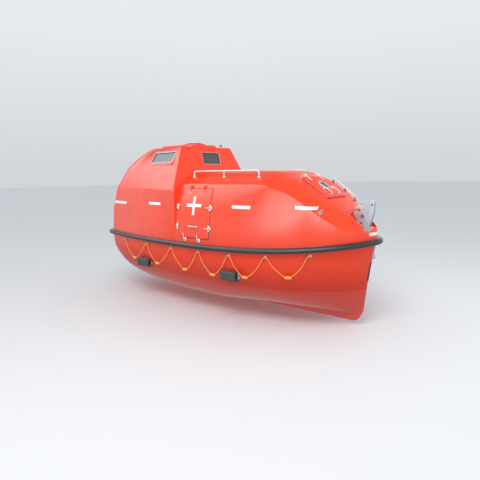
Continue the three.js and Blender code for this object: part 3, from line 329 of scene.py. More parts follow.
def rounded_rect(half, radius, middle=(0, 0)):
    """A rectangle's outline with rounded corners. radius is one number, or one for each corner
    from the upper right on, anticlockwise."""
    radii = np.broadcast_to(radius, 4)
    out = []
    for (sx, sy), r, start in zip([(1, 1), (-1, 1), (-1, -1), (1, -1)], radii, range(4)):
        r = min(max(r, 0.01), half[0], half[1])
        for angle in np.linspace(0, math.pi / 2, ARC_STEPS) + start * math.pi / 2:
            out.append((
                middle[0] + sx * (half[0] - r) + r * math.cos(angle),
                middle[1] + sy * (half[1] - r) + r * math.sin(angle)))
    return np.array(out)


def smooth_rows(rows):
    """A reader of a table's rows that turns smoothly and never swings past its values."""
    t = np.array(rows, float)
    x, v = t[:, 0], t[:, 1:]
    step = np.diff(x)[:, None]
    slope = np.diff(v, axis=0) / step
    m = np.zeros_like(v)
    m[0], m[-1] = slope[0], slope[-1]
    same = slope[:-1] * slope[1:] > 0
    with np.errstate(divide="ignore", invalid="ignore"):
        mean = (step[:-1] + step[1:]) * slope[:-1] * slope[1:]
        mean /= slope[1:] * step[:-1] + slope[:-1] * step[1:]
    m[1:-1] = np.where(same, mean, 0)

    def read(at_x):
        q = min(max(at_x, x[0]), x[-1])
        i = min(int(np.searchsorted(x, q, side="right")) - 1, len(x) - 2)
        h = x[i + 1] - x[i]
        s = (q - x[i]) / h
        return (
            (2 * s ** 3 - 3 * s ** 2 + 1) * v[i] + (s ** 3 - 2 * s ** 2 + s) * h * m[i]
            + (3 * s ** 2 - 2 * s ** 3) * v[i + 1] + (s ** 3 - s ** 2) * h * m[i + 1])

    return read


def applied(obj):
    """Writes an object's modifiers into its mesh."""
    graph = bpy.context.evaluated_depsgraph_get()
    mesh = bpy.data.meshes.new_from_object(obj.evaluated_get(graph))
    old = obj.data
    obj.modifiers.clear()
    obj.data = mesh
    bpy.data.meshes.remove(old)


def solid(part, name="tool"):
    """A part as a bare object, in metres, with its faces turned outwards."""
    points, faces = part
    mesh = bpy.data.meshes.new(name)
    mesh.from_pydata(metres(points).tolist(), [], faces)
    bm = bmesh.new()
    bm.from_mesh(mesh)
    bmesh.ops.remove_doubles(bm, verts=bm.verts, dist=2e-6)
    bmesh.ops.dissolve_degenerate(bm, edges=bm.edges, dist=1e-6)
    bmesh.ops.recalc_face_normals(bm, faces=bm.faces)
    bm.to_mesh(mesh)
    bm.free()
    obj = bpy.data.objects.new(name, mesh)
    bpy.context.scene.collection.objects.link(obj)
    return obj


def shaped(base, added=(), removed=()):
    """The first part joined with others and cut by others, as an object."""
    obj = solid(base, "shape")
    tools = [(solid(part), "UNION") for part in added]
    tools += [(part if isinstance(part, bpy.types.Object) else solid(part), "DIFFERENCE")
              for part in removed]
    for tool, operation in tools:
        work = obj.modifiers.new("work", "BOOLEAN")
        work.operation, work.solver, work.object = operation, "EXACT", tool
    bpy.context.view_layer.update()
    applied(obj)
    for tool, _ in tools:
        bpy.data.objects.remove(tool)
    if not obj.data.polygons:
        raise RuntimeError("a shape came out empty")
    return obj


def piece(name, shape, finish, body="root", stands_for=(), sharp=35.0):
    """A named piece of the boat from a part or an object, with its finish and its body."""
    obj = shape if isinstance(shape, bpy.types.Object) else solid(shape)
    if not obj.data.polygons:
        raise RuntimeError(f"{name} has no faces")
    obj.name = obj.data.name = name
    obj.data.materials.clear()
    obj.data.materials.append(FINISHES[finish])
    obj.data.shade_smooth()
    obj.data.set_sharp_from_angle(angle=math.radians(sharp))
    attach(obj, body)
    if stands_for:
        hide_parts(*stands_for)
    return obj


# ---- The boat's lines ----


def half_breadth(x, inset=SHELL_INSET):
    """Half the boat's breadth at the gunwale, drawn in from the fender's centre line."""
    if x >= WIDEST_X:
        along = min(1.0, (x - WIDEST_X) / (BOW_X - inset - WIDEST_X))
        return (BEAM_HALF - inset) * (1 - along ** 3.621) ** 0.644
    aft = (WIDEST_X - x) / (WIDEST_X - QUARTER_X)
    side = BEAM_HALF - inset - QUARTER_TAPER * aft ** 2
    corner = min(1.0, max(0.0, (CORNER_X + inset - x) / (CORNER_X - STERN_X)))
    return side * (1 - corner ** 3.2) ** 0.385


def gunwale(x):
    """Height of the joint between hull and canopy."""
    return GUNWALE_Z + (BOW_RISE * (x / BOW_X) ** 2 if x > 0 else 0.0)


def stem_lean(x, z):
    """How far a point of station x lies aft of its place at the gunwale."""
    forward = max(0.0, (x - LEAN_START) / (FORE_END - LEAN_START))
    drop = np.maximum(0.0, gunwale(x) - np.asarray(z, float)) / 1000
    return STEM_LEAN * drop ** STEM_CURVE * forward ** 2


def stem_x(z):
    """The stem's face at a height."""
    return FORE_END - float(stem_lean(FORE_END, z))


hull_row = smooth_rows(HULL_ROWS)
canopy_row = smooth_rows(CANOPY_ROWS)


def both_sides(port):
    """A ring from one side's points, which run from the edge in to the centre plane."""
    return np.concatenate([port, port[-2::-1] * (1, -1, 1)])


def hull_side(x, inset=0.0, lift=0.0, raised=0.0):
    """One side of a hull section from the gunwale down to the keel."""
    bottom, roundness = hull_row(x)
    top = gunwale(x) + raised
    low = max(bottom + lift, 660.0 if x < -1900 and lift > 0 else 0.0)
    angle = np.linspace(0, math.pi / 2, SECTION_STEPS + 1)
    y = half_breadth(x, SHELL_INSET + inset) * np.maximum(np.cos(angle), 0) ** (2 / roundness)
    z = top - (top - low) * np.sin(angle) ** (2 / roundness)
    y[-1] = 0
    return np.stack([x - stem_lean(x, z), y, z], 1)


def canopy_curve(x, thick=0.0, drop=0.3):
    """Foot, swell, knuckle, middle, edge, inner point and ridge of a canopy section, as y and z."""
    knuckle_y, knuckle_z, edge_y, edge_z, ridge_z = canopy_row(x)
    tuck = 12 if x < HOUSE_FRONT else 0
    foot = np.array([half_breadth(x, SHELL_INSET + thick + tuck), gunwale(x) + drop])
    knuckle = np.array([max(min(knuckle_y - thick, foot[0] * 0.97), 1), knuckle_z - 0.6 * thick])
    lean = min(foot[0], knuckle[0] + (foot[0] - knuckle[0]) * 0.92)
    swell = np.array([lean, foot[1] + (knuckle[1] - foot[1]) * 0.62])
    edge = np.array([min(max(edge_y - 0.5 * thick, 8), knuckle[0] * 0.75), edge_z - thick])
    middle = (knuckle + edge) / 2 + (0, 12)
    ridge = np.array([0, ridge_z - thick])
    return foot, swell, knuckle, middle, edge, (edge + ridge) / 2 + (0, 5), ridge


def canopy_side(x, thick=0.0, drop=0.3):
    """One side of a canopy section from the gunwale up to the ridge."""
    foot, swell, knuckle, middle, edge, inner, ridge = canopy_curve(x, thick, drop)
    t = np.linspace(0, 1, 13)[:, None]
    wall = (1 - t) ** 2 * foot + 2 * t * (1 - t) * swell + t ** 2 * knuckle
    sizes = bpy.context.scene.lifeboat_sizes
    line = [*wall, middle, edge, inner, ridge]
    reach = [0] * 12 + [sizes.shoulder * 1000, 60, 120, 90, 0]
    return station_ring(rounded(line, reach, 5), x)


def wall_point(x, z, depth=0.0):
    """The canopy wall's starboard-or-port distance and height at x and z, depth out of the wall."""
    foot, swell, knuckle = canopy_curve(x)[:3]
    a = foot[1] - 2 * swell[1] + knuckle[1]
    b = 2 * (swell[1] - foot[1])
    c = foot[1] - z
    t = (-b + math.sqrt(max(b * b - 4 * a * c, 0))) / (2 * a) if abs(a) > 1e-6 else -c / b
    y = (1 - t) ** 2 * foot[0] + 2 * t * (1 - t) * swell[0] + t * t * knuckle[0]
    run = 2 * (1 - t) * (swell - foot) + 2 * t * (knuckle - swell)
    out = np.array([run[1], -run[0]]) / np.linalg.norm(run)
    return y + depth * out[0], z + depth * out[1]


def wall_frame(x, z, side):
    """A frame on the canopy's wall: X along the boat, Y up the wall, Z out of it."""
    high, low = wall_point(x, z + 20)[0], wall_point(x, z - 20)[0]
    fore, aft = wall_point(x + 20, z)[0], wall_point(x - 20, z)[0]
    up = Vector((0, side * (high - low), 40)).normalized()
    along = Vector((40, side * (fore - aft), 0)).normalized()
    out = along.cross(up).normalized() * -side
    across = up.cross(out).normalized()
    return axes_at((across, up, out), (x, side * wall_point(x, z)[0], z))


def stations(first, last, longest, ends=()):
    """Evenly spaced stations, with more of them near the given ends."""
    line = list(np.linspace(first, last, math.ceil((last - first) / longest) + 1))
    for end, way, reach in ends:
        line = [x for x in line if (end - x) * way > reach]
        line += [end - way * reach * (1 - math.sin(t)) for t in np.linspace(0, math.pi / 2, 12)]
    return sorted(line)


def hull_form(inset=0.0, lift=0.0, raised=0.0):
    """The hull's closed form, or its inside where it is drawn in."""
    if inset:
        line = stations(-2700, 2780, 90)
    else:
        line = stations(AFT_END - 1.5, NOSE_END, 60, [(NOSE_END, 1, 330), (AFT_END - 1.5, -1, 260)])
    return loft([both_sides(hull_side(x, inset, lift, raised)) for x in line], ends="strips")


def canopy_form(thick=0.0, drop=0.3, last=NOSE_END):
    """The fore canopy's closed form, or its inside where it is drawn in."""
    line = stations(-702, last, 55, [] if thick else [(last, 1, 250)])
    return loft([both_sides(canopy_side(x, thick, drop)) for x in line], ends="strips")


def house_side(row, thick):
    """Half a wheelhouse level as x and y, from the middle of its front round to its stern's."""
    z, front_x, front_y, corner_x, corner_y, stern_x, square = row
    foot = z < GUNWALE_Z + 10
    front = front_x - thick
    side_y = half_breadth(front_x) if foot else front_y
    points = [(front, (side_y - thick) * t) for t in np.linspace(0, 1, 7)]
    for t in np.linspace(0, 1, 25)[1:]:
        x = front + (corner_x - front) * t
        y = half_breadth(x) if foot else front_y + (corner_y - front_y) * t
        points.append((x, y - thick))
    for angle in np.linspace(0, math.pi / 2, 22)[1:-1]:
        x = corner_x + (stern_x + thick - corner_x) * math.sin(angle) ** (2 / square)
        wide = (corner_y - thick) * math.cos(angle) ** (2 / square)
        points.append((x, half_breadth(x - thick) - thick if foot else wide))
    points.append((stern_x + thick, 0))
    corner = bpy.context.scene.lifeboat_sizes.house_corner * 1000
    reach = [corner if i == 6 else 0 for i in range(len(points))]
    return rounded(points, reach, 5)


def house_form(thick=0.0, drop=0.3):
    """The wheelhouse's closed form, or its inside where it is drawn in."""
    top = len(HOUSE_ROWS) - 1
    levels, heights = [], []
    for i, row in enumerate(HOUSE_ROWS):
        z = row[0] + (drop if i == 0 else 0) - (thick if i == top else 0)
        levels.append(level_ring(house_side(row, thick), z).ravel())
        heights.append(z)
    heights = np.array(heights)
    level = np.column_stack([heights, np.array(levels)])
    level = rounded(level, HOUSE_ROUNDING, 5, along=heights)
    level = divided(level, 80, level[:, 0])
    rings = []
    for row in level:
        half = row[1:].reshape(-1, 3)
        rings.append(np.concatenate([half, half[-2:0:-1] * (1, -1, 1)]))
    return loft(rings)


def house_y(x, z):
    """Half the wheelhouse's width at x and z."""
    for low, high in zip(HOUSE_ROWS, HOUSE_ROWS[1:]):
        if z <= high[0]:
            part = (z - low[0]) / (high[0] - low[0])
            row = [a + (b - a) * part for a, b in zip(low, high)]
            along = (row[1] - x) / (row[1] - row[3])
            return row[2] + (row[4] - row[2]) * min(1.0, along)
    return 0.0


def deck_z(x, y):
    """Height of the canopy's top at x and y, forward of the wheelhouse."""
    line = canopy_side(x)[:, 1:]
    line = line[line[:, 1] > canopy_curve(x)[2][1] - 60][::-1]
    return float(np.interp(abs(y), line[:, 0], line[:, 1]))


FORE_HATCH = {"frame": at(2020, 0, 2122, 0, 0.6, 0), "length": 557.0, "width": 650.0}
AFT_HATCH = {"frame": at(-2200, 0, 2745, 0, -0.47, 0), "length": 400.0, "width": 520.0}
ROOF_HATCH = {"x": -900.0, "radius": 215.0, "z": 2938.0}
COAMING, LID, SEAT = 14.0, 25.0, 0.3
HATCH_OUT, HATCH_BACK = 41.3, 18.0
WINDOW_RIM, PANE = 24.0, 12.0


def side_window_frame(side):
    """A side window's frame: X out of the wall, Y along it, Z up."""
    low, high = house_y(-1050, 2600), house_y(-1050, 2790)
    fore, aft = house_y(-700, 2700), house_y(-1400, 2700)
    along = Vector((700, side * (fore - aft), 0)).normalized()
    rise = Vector((0, side * (high - low), 190)).normalized()
    out = (along.cross(rise) * (-1 if side > 0 else 1)).normalized()
    up = out.cross(along)
    return axes_at((out, -out.cross(up), up), (-1045, side * house_y(-1045, 2695), 2695))


SIDE_WINDOW = 740.0
# Each window's frame, length and height
WINDOWS = {
    "front": (at(-503, 55, 2668, 0, -FRONT_LEAN, 0), 500.0, 240.0),
    "port": (side_window_frame(1), SIDE_WINDOW, 220.0),
    "starboard": (side_window_frame(-1), SIDE_WINDOW, 220.0),
}
# Turns a part drawn in the XY plane so that it lies on a window, its Z pointing out of the wall.
ON_WINDOW = Matrix(((0, 0, 1, 0), (1, 0, 0, 0), (0, 1, 0, 0), (0, 0, 0, 1)))


# ---- Finishes ----

FINISHES = {}


def node(tree, kind, inputs=None, **settings):
    """Adds a shader node, sets its values and links the sockets that it is given."""
    made = tree.nodes.new("ShaderNode" + kind)
    for key, value in settings.items():
        setattr(made, key, value)
    for key, value in (inputs or {}).items():
        if isinstance(value, bpy.types.NodeSocket):
            tree.links.new(value, made.inputs[key])
        else:
            made.inputs[key].default_value = value
    return made


def mix(tree, factor, first, second, blend="MIX"):
    """The colour between two colours."""
    made = node(tree, "Mix", data_type="RGBA", blend_type=blend)
    for key, value in ((0, factor), (6, first), (7, second)):
        if isinstance(value, bpy.types.NodeSocket):
            tree.links.new(value, made.inputs[key])
        else:
            made.inputs[key].default_value = value
    return made.outputs[2]


def sums(tree, operation, first, second):
    """A Math node's result."""
    return node(tree, "Math", {0: first, 1: second}, operation=operation).outputs[0]


def times(tree, first, second):
    """Two values multiplied."""
    return sums(tree, "MULTIPLY", first, second)


def plus(tree, first, second):
    """Two values added."""
    return sums(tree, "ADD", first, second)


def ranged(tree, value, low, high, to_low=0.0, to_high=1.0, way="LINEAR"):
    """A value mapped from one range to another, kept inside it."""
    return node(tree, "MapRange", {
        "Value": value, "From Min": low, "From Max": high, "To Min": to_low, "To Max": to_high,
    }, interpolation_type=way).outputs["Result"]


def own_place(tree):
    """The object's own coordinates."""
    return node(tree, "TexCoord").outputs["Object"]


def effect(name, inputs, outputs):
    """An empty shader group with named sockets."""
    tree = bpy.data.node_groups.new(name, "ShaderNodeTree")
    for label, default in inputs:
        kind = "NodeSocketColor" if isinstance(default, tuple) else "NodeSocketFloat"
        socket = tree.interface.new_socket(label, in_out="INPUT", socket_type=kind)
        socket.default_value = default
    for label, kind in outputs:
        tree.interface.new_socket(label, in_out="OUTPUT", socket_type="NodeSocket" + kind)
    source = tree.nodes.new("NodeGroupInput").outputs
    result = tree.nodes.new("NodeGroupOutput").inputs
    return tree, source, result


def noise(tree, scale, detail=4.0, rough=0.55, vector=None):
    """A noise pattern laid over the object's own coordinates."""
    vector = vector or own_place(tree)
    return node(tree, "TexNoise", {
        "Vector": vector, "Scale": scale, "Detail": detail, "Roughness": rough,
    }).outputs["Fac"]


def stretched(tree, x, y, z):
    """The object's own coordinates, scaled along each axis."""
    return node(tree, "Mapping", {
        "Vector": own_place(tree), "Scale": (x, y, z),
    }).outputs["Vector"]


def build_effects():
    """The shader groups that the finishes share."""
    pale, deep = (0.8, 0.8, 0.8, 1.0), (0.5, 0.5, 0.5, 1.0)

    tree, source, result = effect(
        "Mottling", [("Colour", pale), ("Deeper Colour", deep), ("Scale", 3.0), ("Amount", 0.5)],
        [("Colour", "Color")])
    broad = noise(tree, source["Scale"], 3)
    small = noise(tree, times(tree, source["Scale"], 9.0), 5)
    both = plus(tree, times(tree, broad, 0.7), times(tree, small, 0.3))
    share = times(tree, ranged(tree, both, 0.38, 0.64), source["Amount"])
    tree.links.new(mix(tree, share, source["Colour"], source["Deeper Colour"]), result["Colour"])

    tree, source, result = effect(
        "Weathering", [("Scale", 4.0), ("Amount", 0.5), ("Streaks", 0.5)], [("Mask", "Float")])
    runs = node(tree, "TexNoise", {
        "Vector": stretched(tree, 14, 14, 1.2), "Scale": source["Scale"], "Detail": 4.0,
    }).outputs["Fac"]
    spots = ranged(tree, noise(tree, source["Scale"], 7, 0.65), 0.48, 0.75)
    lines = times(tree, ranged(tree, runs, 0.5, 0.78), source["Streaks"])
    tree.links.new(
        times(tree, sums(tree, "MAXIMUM", spots, lines), source["Amount"]), result["Mask"])

    tree, source, result = effect(
        "Fine Relief",
        [("Grain Scale", 300.0), ("Grain Height", 0.2), ("Wave Scale", 2.0), ("Wave Height", 1.0)],
        [("Height", "Float")])
    grain = times(tree, noise(tree, source["Grain Scale"], 3), source["Grain Height"])
    wave = times(tree, noise(tree, source["Wave Scale"], 2), source["Wave Height"])
    tree.links.new(plus(tree, grain, wave), result["Height"])

    tree, source, result = effect(
        "Worn Edges", [("Amount", 0.5), ("Break-up Scale", 60.0)], [("Mask", "Float")])
    edge = ranged(tree, node(tree, "NewGeometry").outputs["Pointiness"], 0.52, 0.6)
    chips = ranged(tree, noise(tree, source["Break-up Scale"], 5, 0.7), 0.4, 0.62)
    tree.links.new(times(tree, times(tree, edge, chips), source["Amount"]), result["Mask"])

    # Darker towards the bottom: a ragged mask, full below Height and gone by Spread above it.
    tree, source, result = effect(
        "Low Darkening", [("Height", 0.0), ("Spread", 0.1)], [("Mask", "Float")])
    height = node(tree, "SeparateXYZ", {0: own_place(tree)}).outputs["Z"]
    ragged = times(tree, sums(tree, "SUBTRACT", noise(tree, 7.0, 5), 0.5), 0.12)
    level = plus(tree, sums(tree, "SUBTRACT", height, source["Height"]), ragged)
    tree.links.new(
        ranged(tree, level, source["Spread"], 0.0, way="SMOOTHSTEP"), result["Mask"])


def grouped(tree, name, **values):
    """A shared effect placed in a finish with its own values."""
    made = tree.nodes.new("ShaderNodeGroup")
    made.node_tree = bpy.data.node_groups[name]
    for key, value in values.items():
        label = key.replace("_", " ").title().replace("Break Up", "Break-up")
        if isinstance(value, bpy.types.NodeSocket):
            tree.links.new(value, made.inputs[label])
        else:
            made.inputs[label].default_value = value
    return made.outputs[0]


def finish(
        name, colour, deeper, scale=3.0, amount=0.6, rough=(0.35, 0.5), metallic=0.0, coat=0.0,
        coat_rough=0.08, ior=1.5, relief=(300.0, 0.2, 2.0, 1.0), bump=0.1, distance=0.001,
        dirt=None, wear=None, low_tint=None, pattern=None, sheen=0.0):
    """A finish from two colours. dirt and wear are a colour and an amount, low_tint is the colour
    that it darkens to towards the bottom, and pattern builds a mask and a height from the finish's
    tree, and a colour for the mask."""
    material = bpy.data.materials.new(name)
    material.use_nodes = True
    tree = material.node_tree
    shader = tree.nodes["Principled BSDF"]
    base = grouped(
        tree, "Mottling", colour=(*colour, 1), deeper_colour=(*deeper, 1), scale=scale,
        amount=amount)
    height = grouped(
        tree, "Fine Relief", grain_scale=relief[0], grain_height=relief[1],
        wave_scale=relief[2], wave_height=relief[3])
    if pattern:
        mask, lift, tint = pattern(tree)
        base = mix(tree, mask, base, (*tint, 1))
        height = plus(tree, height, lift)
    soiled = grouped(tree, "Weathering", scale=scale * 2, amount=1.0, streaks=0.7)
    # The finish darkens towards the bottom, fully below the waterline.
    if low_tint:
        base = mix(
            tree, times(tree, grouped(tree, "Low Darkening", spread=0.5), 0.75),
            base, (*low_tint, 1))
    if dirt:
        base = mix(tree, times(tree, soiled, dirt[1]), base, (*dirt[0], 1))
    roughness = ranged(tree, soiled, 0.0, 1.0, *rough)
    if wear:
        bare = grouped(tree, "Worn Edges", amount=wear[1])
        base = mix(tree, bare, base, (*wear[0], 1))
        roughness = plus(tree, roughness, times(tree, bare, 0.2))
    relieved = node(tree, "Bump", {"Strength": bump, "Distance": distance, "Height": height})
    tree.links.new(base, shader.inputs["Base Color"])
    tree.links.new(roughness, shader.inputs["Roughness"])
    tree.links.new(relieved.outputs["Normal"], shader.inputs["Normal"])
    for socket, value in (
            ("Metallic", metallic), ("Coat Weight", coat), ("Coat Roughness", coat_rough),
            ("IOR", ior), ("Sheen Weight", sheen)):
        shader.inputs[socket].default_value = value
    FINISHES[name] = material


def spangle(tree):
    """The crystals of hot-dip zinc."""
    cells = node(tree, "TexVoronoi", {"Vector": own_place(tree), "Scale": 90.0})
    tone = ranged(tree, cells.outputs["Color"], 0.2, 0.9)
    return tone, times(tree, cells.outputs["Distance"], 0.4), (0.48, 0.54, 0.6)


def tape_cells(tree):
    """The small cells of reflective tape."""
    cells = node(tree, "TexVoronoi", {
        "Vector": own_place(tree), "Scale": 260.0, "Randomness": 0.15,
    }, feature="DISTANCE_TO_EDGE")
    line = ranged(tree, cells.outputs["Distance"], 0.0, 0.09, 1.0, 0.0)
    return times(tree, line, 0.2), times(tree, line, -0.5), (0.6, 0.62, 0.65)


def weave(tree):
    """A plain weave of cloth."""
    vector = own_place(tree)
    threads = [
        node(tree, "TexWave", {"Vector": vector, "Scale": 190.0, "Distortion": 0.6},
             bands_direction=way).outputs["Fac"]
        for way in ("X", "Y", "Z")]
    cloth = times(tree, plus(tree, threads[0], threads[1]), threads[2])
    return ranged(tree, cloth, 0.2, 1.2, 0.0, 0.5), cloth, (0.16, 0.2, 0.24)


def fibres(tree):
    """Short fibres that lie along a rope's strands."""
    fine = noise(tree, 420.0, 6, 0.7)
    return ranged(tree, fine, 0.4, 0.7, 0.0, 0.5), fine, (1.0, 0.46, 0.14)


def skin_ribs(tree):
    """Fine mould lines along an extruded rubber profile."""
    fine = noise(tree, 55.0, 3, 0.6, stretched(tree, 0.15, 0.15, 9))
    share = ranged(tree, fine, 0.35, 0.7, 0.0, 0.3)
    return share, times(tree, fine, 0.6), (0.12, 0.125, 0.13)


def build_finishes(colours):
    """Every finish of the boat."""
    hull, hatch = tuple(colours.gelcoat), tuple(colours.gelcoat_deep)
    finish("gelcoat", hull, hatch, 1.1, 0.6, (0.16, 0.3), coat=0.4, coat_rough=0.06,
           relief=(40, 0.02, 1.6, 3.0), bump=0.3, distance=0.003,
           dirt=((0.5, 0.035, 0.014), 0.3), low_tint=(0.5, 0.022, 0.008))
    finish("lid_gelcoat", hull, hatch, 1.7, 0.6, (0.18, 0.34), coat=0.4, coat_rough=0.08,
           relief=(60, 0.03, 3.0, 1.5), bump=0.25, distance=0.002,
           dirt=((0.5, 0.035, 0.014), 0.3))
    finish("liner", (0.72, 0.69, 0.62), (0.58, 0.56, 0.5), 2.0, 0.5, (0.4, 0.6),
           relief=(220, 0.5, 6, 0.6), bump=0.25, dirt=((0.3, 0.28, 0.24), 0.3))
    rubber = tuple(colours.rubber)
    finish("fender_rubber", rubber, tuple(c * 0.55 for c in rubber), 2.5, 0.7, (0.22, 0.4),
           relief=(250, 0.2, 5, 1.0), bump=0.15, distance=0.001, pattern=skin_ribs,
           dirt=((0.12, 0.115, 0.11), 0.25))
    finish("block_rubber", tuple(c * 1.15 for c in rubber), tuple(c * 0.6 for c in rubber), 8, 0.8,
           (0.45, 0.7), relief=(260, 0.6, 14, 0.8), bump=0.4, distance=0.0015,
           dirt=((0.2, 0.19, 0.17), 0.45), wear=((0.2, 0.2, 0.2), 0.6))
    finish("gasket", (0.02, 0.02, 0.021), (0.012, 0.012, 0.012), 9, 0.5, (0.5, 0.7),
           relief=(400, 0.4, 20, 0.5), bump=0.2)
    # Dark red rubber of the doors' seals: a real seal whose colour, that of shaded gelcoat, paints
    # the shadow line round each door.
    finish("seal_shadow_rubber", (0.13, 0.018, 0.012), (0.08, 0.012, 0.01), 9, 0.5, (0.5, 0.7),
           relief=(400, 0.4, 20, 0.5), bump=0.2)
    finish("white_paint", (0.8, 0.8, 0.8), (0.68, 0.68, 0.67), 7, 0.5, (0.28, 0.48), coat=0.25,
           relief=(260, 0.3, 12, 0.8), bump=0.15, dirt=((0.45, 0.36, 0.28), 0.3),
           wear=((0.42, 0.4, 0.38), 0.7))
    finish("reflective_tape", (0.92, 0.93, 0.95), (0.82, 0.84, 0.87), 14, 0.6, (0.22, 0.36),
           coat=0.35, coat_rough=0.1, relief=(300, 0.2, 20, 0.4), bump=0.3, distance=0.0004,
           pattern=tape_cells)
    finish("galvanised", (0.42, 0.48, 0.54), (0.33, 0.38, 0.43), 9, 0.7, (0.34, 0.55),
           metallic=0.12, relief=(240, 0.4, 20, 0.6), bump=0.25, pattern=spangle,
           dirt=((0.22, 0.2, 0.18), 0.35), wear=((0.62, 0.63, 0.64), 0.6))
    finish("stainless", (0.6, 0.6, 0.61), (0.45, 0.45, 0.46), 20, 0.5, (0.22, 0.4), metallic=0.6,
           relief=(600, 0.3, 30, 0.3), bump=0.12)
    finish("bronze", (0.62, 0.42, 0.2), (0.36, 0.24, 0.12), 9, 0.6, (0.28, 0.5), metallic=0.95,
           relief=(200, 0.3, 18, 0.6), bump=0.2, dirt=((0.1, 0.16, 0.12), 0.4),
           wear=((0.8, 0.6, 0.32), 0.7))
    finish("window", (0.055, 0.075, 0.07), (0.04, 0.055, 0.05), 3, 0.6, (0.03, 0.12), ior=1.75,
           relief=(20, 0.05, 3, 0.6), bump=0.08, coat=0.4, coat_rough=0.03)
    rope = tuple(colours.rope)
    finish("rope", rope, tuple(c * 0.72 for c in rope), 26, 0.6, (0.75, 0.9),
           relief=(500, 0.8, 60, 0.6), bump=0.5, pattern=fibres, sheen=0.25,
           dirt=((0.35, 0.2, 0.1), 0.3))
    buoy = tuple(colours.float_foam)
    finish("float", buoy, tuple(c * 0.8 for c in buoy), 18, 0.5, (0.45, 0.6),
           relief=(260, 0.6, 30, 0.8), bump=0.35, dirt=((0.5, 0.3, 0.12), 0.3))
    finish("webbing", (0.75, 0.3, 0.06), (0.6, 0.22, 0.05), 20, 0.5, (0.7, 0.85), sheen=0.3,
           relief=(400, 0.5, 40, 0.4), bump=0.4, pattern=weave)
    finish("cushion", (0.035, 0.055, 0.085), (0.022, 0.035, 0.055), 9, 0.6, (0.75, 0.9),
           sheen=0.35, relief=(500, 0.5, 20, 0.6), bump=0.4, pattern=weave)
    finish("cast_alloy", (0.46, 0.4, 0.33), (0.36, 0.31, 0.25), 14, 0.5, (0.35, 0.55),
           metallic=0.3, relief=(240, 0.4, 20, 0.6), bump=0.25)
    finish("dull_steel", (0.16, 0.15, 0.12), (0.09, 0.085, 0.07), 14, 0.5, (0.4, 0.6),
           metallic=0.4, relief=(240, 0.4, 20, 0.6), bump=0.25)
    finish("black_plastic", (0.022, 0.023, 0.025), (0.014, 0.014, 0.015), 12, 0.5, (0.4, 0.6),
           relief=(420, 0.6, 20, 0.5), bump=0.25)
    finish("engine_paint", (0.09, 0.17, 0.14), (0.06, 0.11, 0.09), 6, 0.6, (0.35, 0.6),
           relief=(180, 0.4, 12, 0.8), bump=0.25, dirt=((0.05, 0.045, 0.04), 0.5),
           wear=((0.4, 0.4, 0.38), 0.6))
    finish("lamp_lens", (0.07, 0.08, 0.06), (0.04, 0.05, 0.035), 30, 0.4, (0.08, 0.2), coat=0.4,
           relief=(90, 0.6, 30, 0.2), bump=0.15)
    finish("lamp_base", (0.72, 0.62, 0.14), (0.58, 0.48, 0.1), 20, 0.5, (0.35, 0.5),
           relief=(260, 0.5, 30, 0.4), bump=0.2)


# What the CAD nodes that stay are finished with.
NODE_FINISHES = {
    "sole": "liner", "bench_port": "liner", "bench_starboard": "liner", "engine": "engine_paint",
    "helm_console": "liner", "window_pane_front": "window", "window_pane_port": "window",
    "window_pane_starboard": "window", "bow_hatch_porthole_pane": "window",
}


# ---- Sizes and colours that a user would change ----


def length(name, description, default, low, high):
    """A length in metres."""
    return FloatProperty(
        name=name, description=description, default=default, min=low, max=high, subtype="DISTANCE",
        unit="LENGTH")


def colour(name, description, default):
    """A colour, linear."""
    return FloatVectorProperty(
        name=name, description=description, default=default, size=3, min=0.0, max=1.0,
        subtype="COLOR")


class LifeboatSizes(bpy.types.PropertyGroup):
    """Sizes of the boat's visible detail."""

    shoulder: length("Shoulder", "How far the canopy's shoulder is rounded", 0.05, 0.0, 0.1)
    house_corner: length(
        "Wheelhouse corner", "How far the wheelhouse's front corners are rounded", 0.03, 0.0, 0.1)
    door_corner: length("Door corner", "Radius of a doorway's lower corners", 0.025, 0.01, 0.15)
    rope: length("Rope", "Diameter of the grab lines", 0.014, 0.008, 0.02)
    strand_pitch: length("Lay", "Length of one turn of a rope's strands", 0.055, 0.02, 0.2)
    tape: length("Tape", "Width of the reflective tapes", 0.052, 0.02, 0.1)
    screw: length("Screw", "Radius of a screw's head", 0.0065, 0.002, 0.01)
    window_screws: IntProperty(
        name="Window screws", description="Screws along the long side of a side window",
        default=9, min=3, max=20)


class LifeboatColours(bpy.types.PropertyGroup):
    """Colours of the boat's finishes."""

    gelcoat: colour("Gelcoat", "Hull, canopy, doors and hatches", (0.92, 0.06, 0.016))
    gelcoat_deep: colour("Deeper gelcoat", "The gelcoat's darker patches", (0.82, 0.044, 0.01))
    rubber: colour("Rubber", "Rubbing fender and block fenders", (0.032, 0.031, 0.034))
    rope: colour("Rope", "Grab lines", (1.0, 0.31, 0.05))
    float_foam: colour("Floats", "Floats on the grab lines", (1.0, 0.4, 0.05))


# ---- Camera and grab lines ----

SIDES = (("port", 1), ("starboard", -1))
CAMERA_PLACE, CAMERA_TURN = (5.296, -6.278, 1.847), (0.893, -0.159, -0.015)
CAMERA_PIXELS, PHOTO_PIXELS, SENSOR = 424.056, 480, 36.0

# Eyes of the starboard line, and x and height of its lowest points
EYES = [
    (-2090, -962, 1052), (-1220, -1099, 1052), (-447, -1160, 1052), (242, -1172, 1052),
    (922, -1162, 1068), (1600, -1092, 1105), (2248, -868, 1158),
]
LOOPS = [(-1700, 715), (-879, 714), (-90, 706), (574, 701), (1232, 742), (1945, 806)]
SAG_SHARE = 0.42                # of a loop's way from its low point up to the eye
EYE_REACH, EYE_DROP = 28, 16    # where a loop leaves its eye
FLOAT_TOP = 900                 # the floats sit on the line below this height


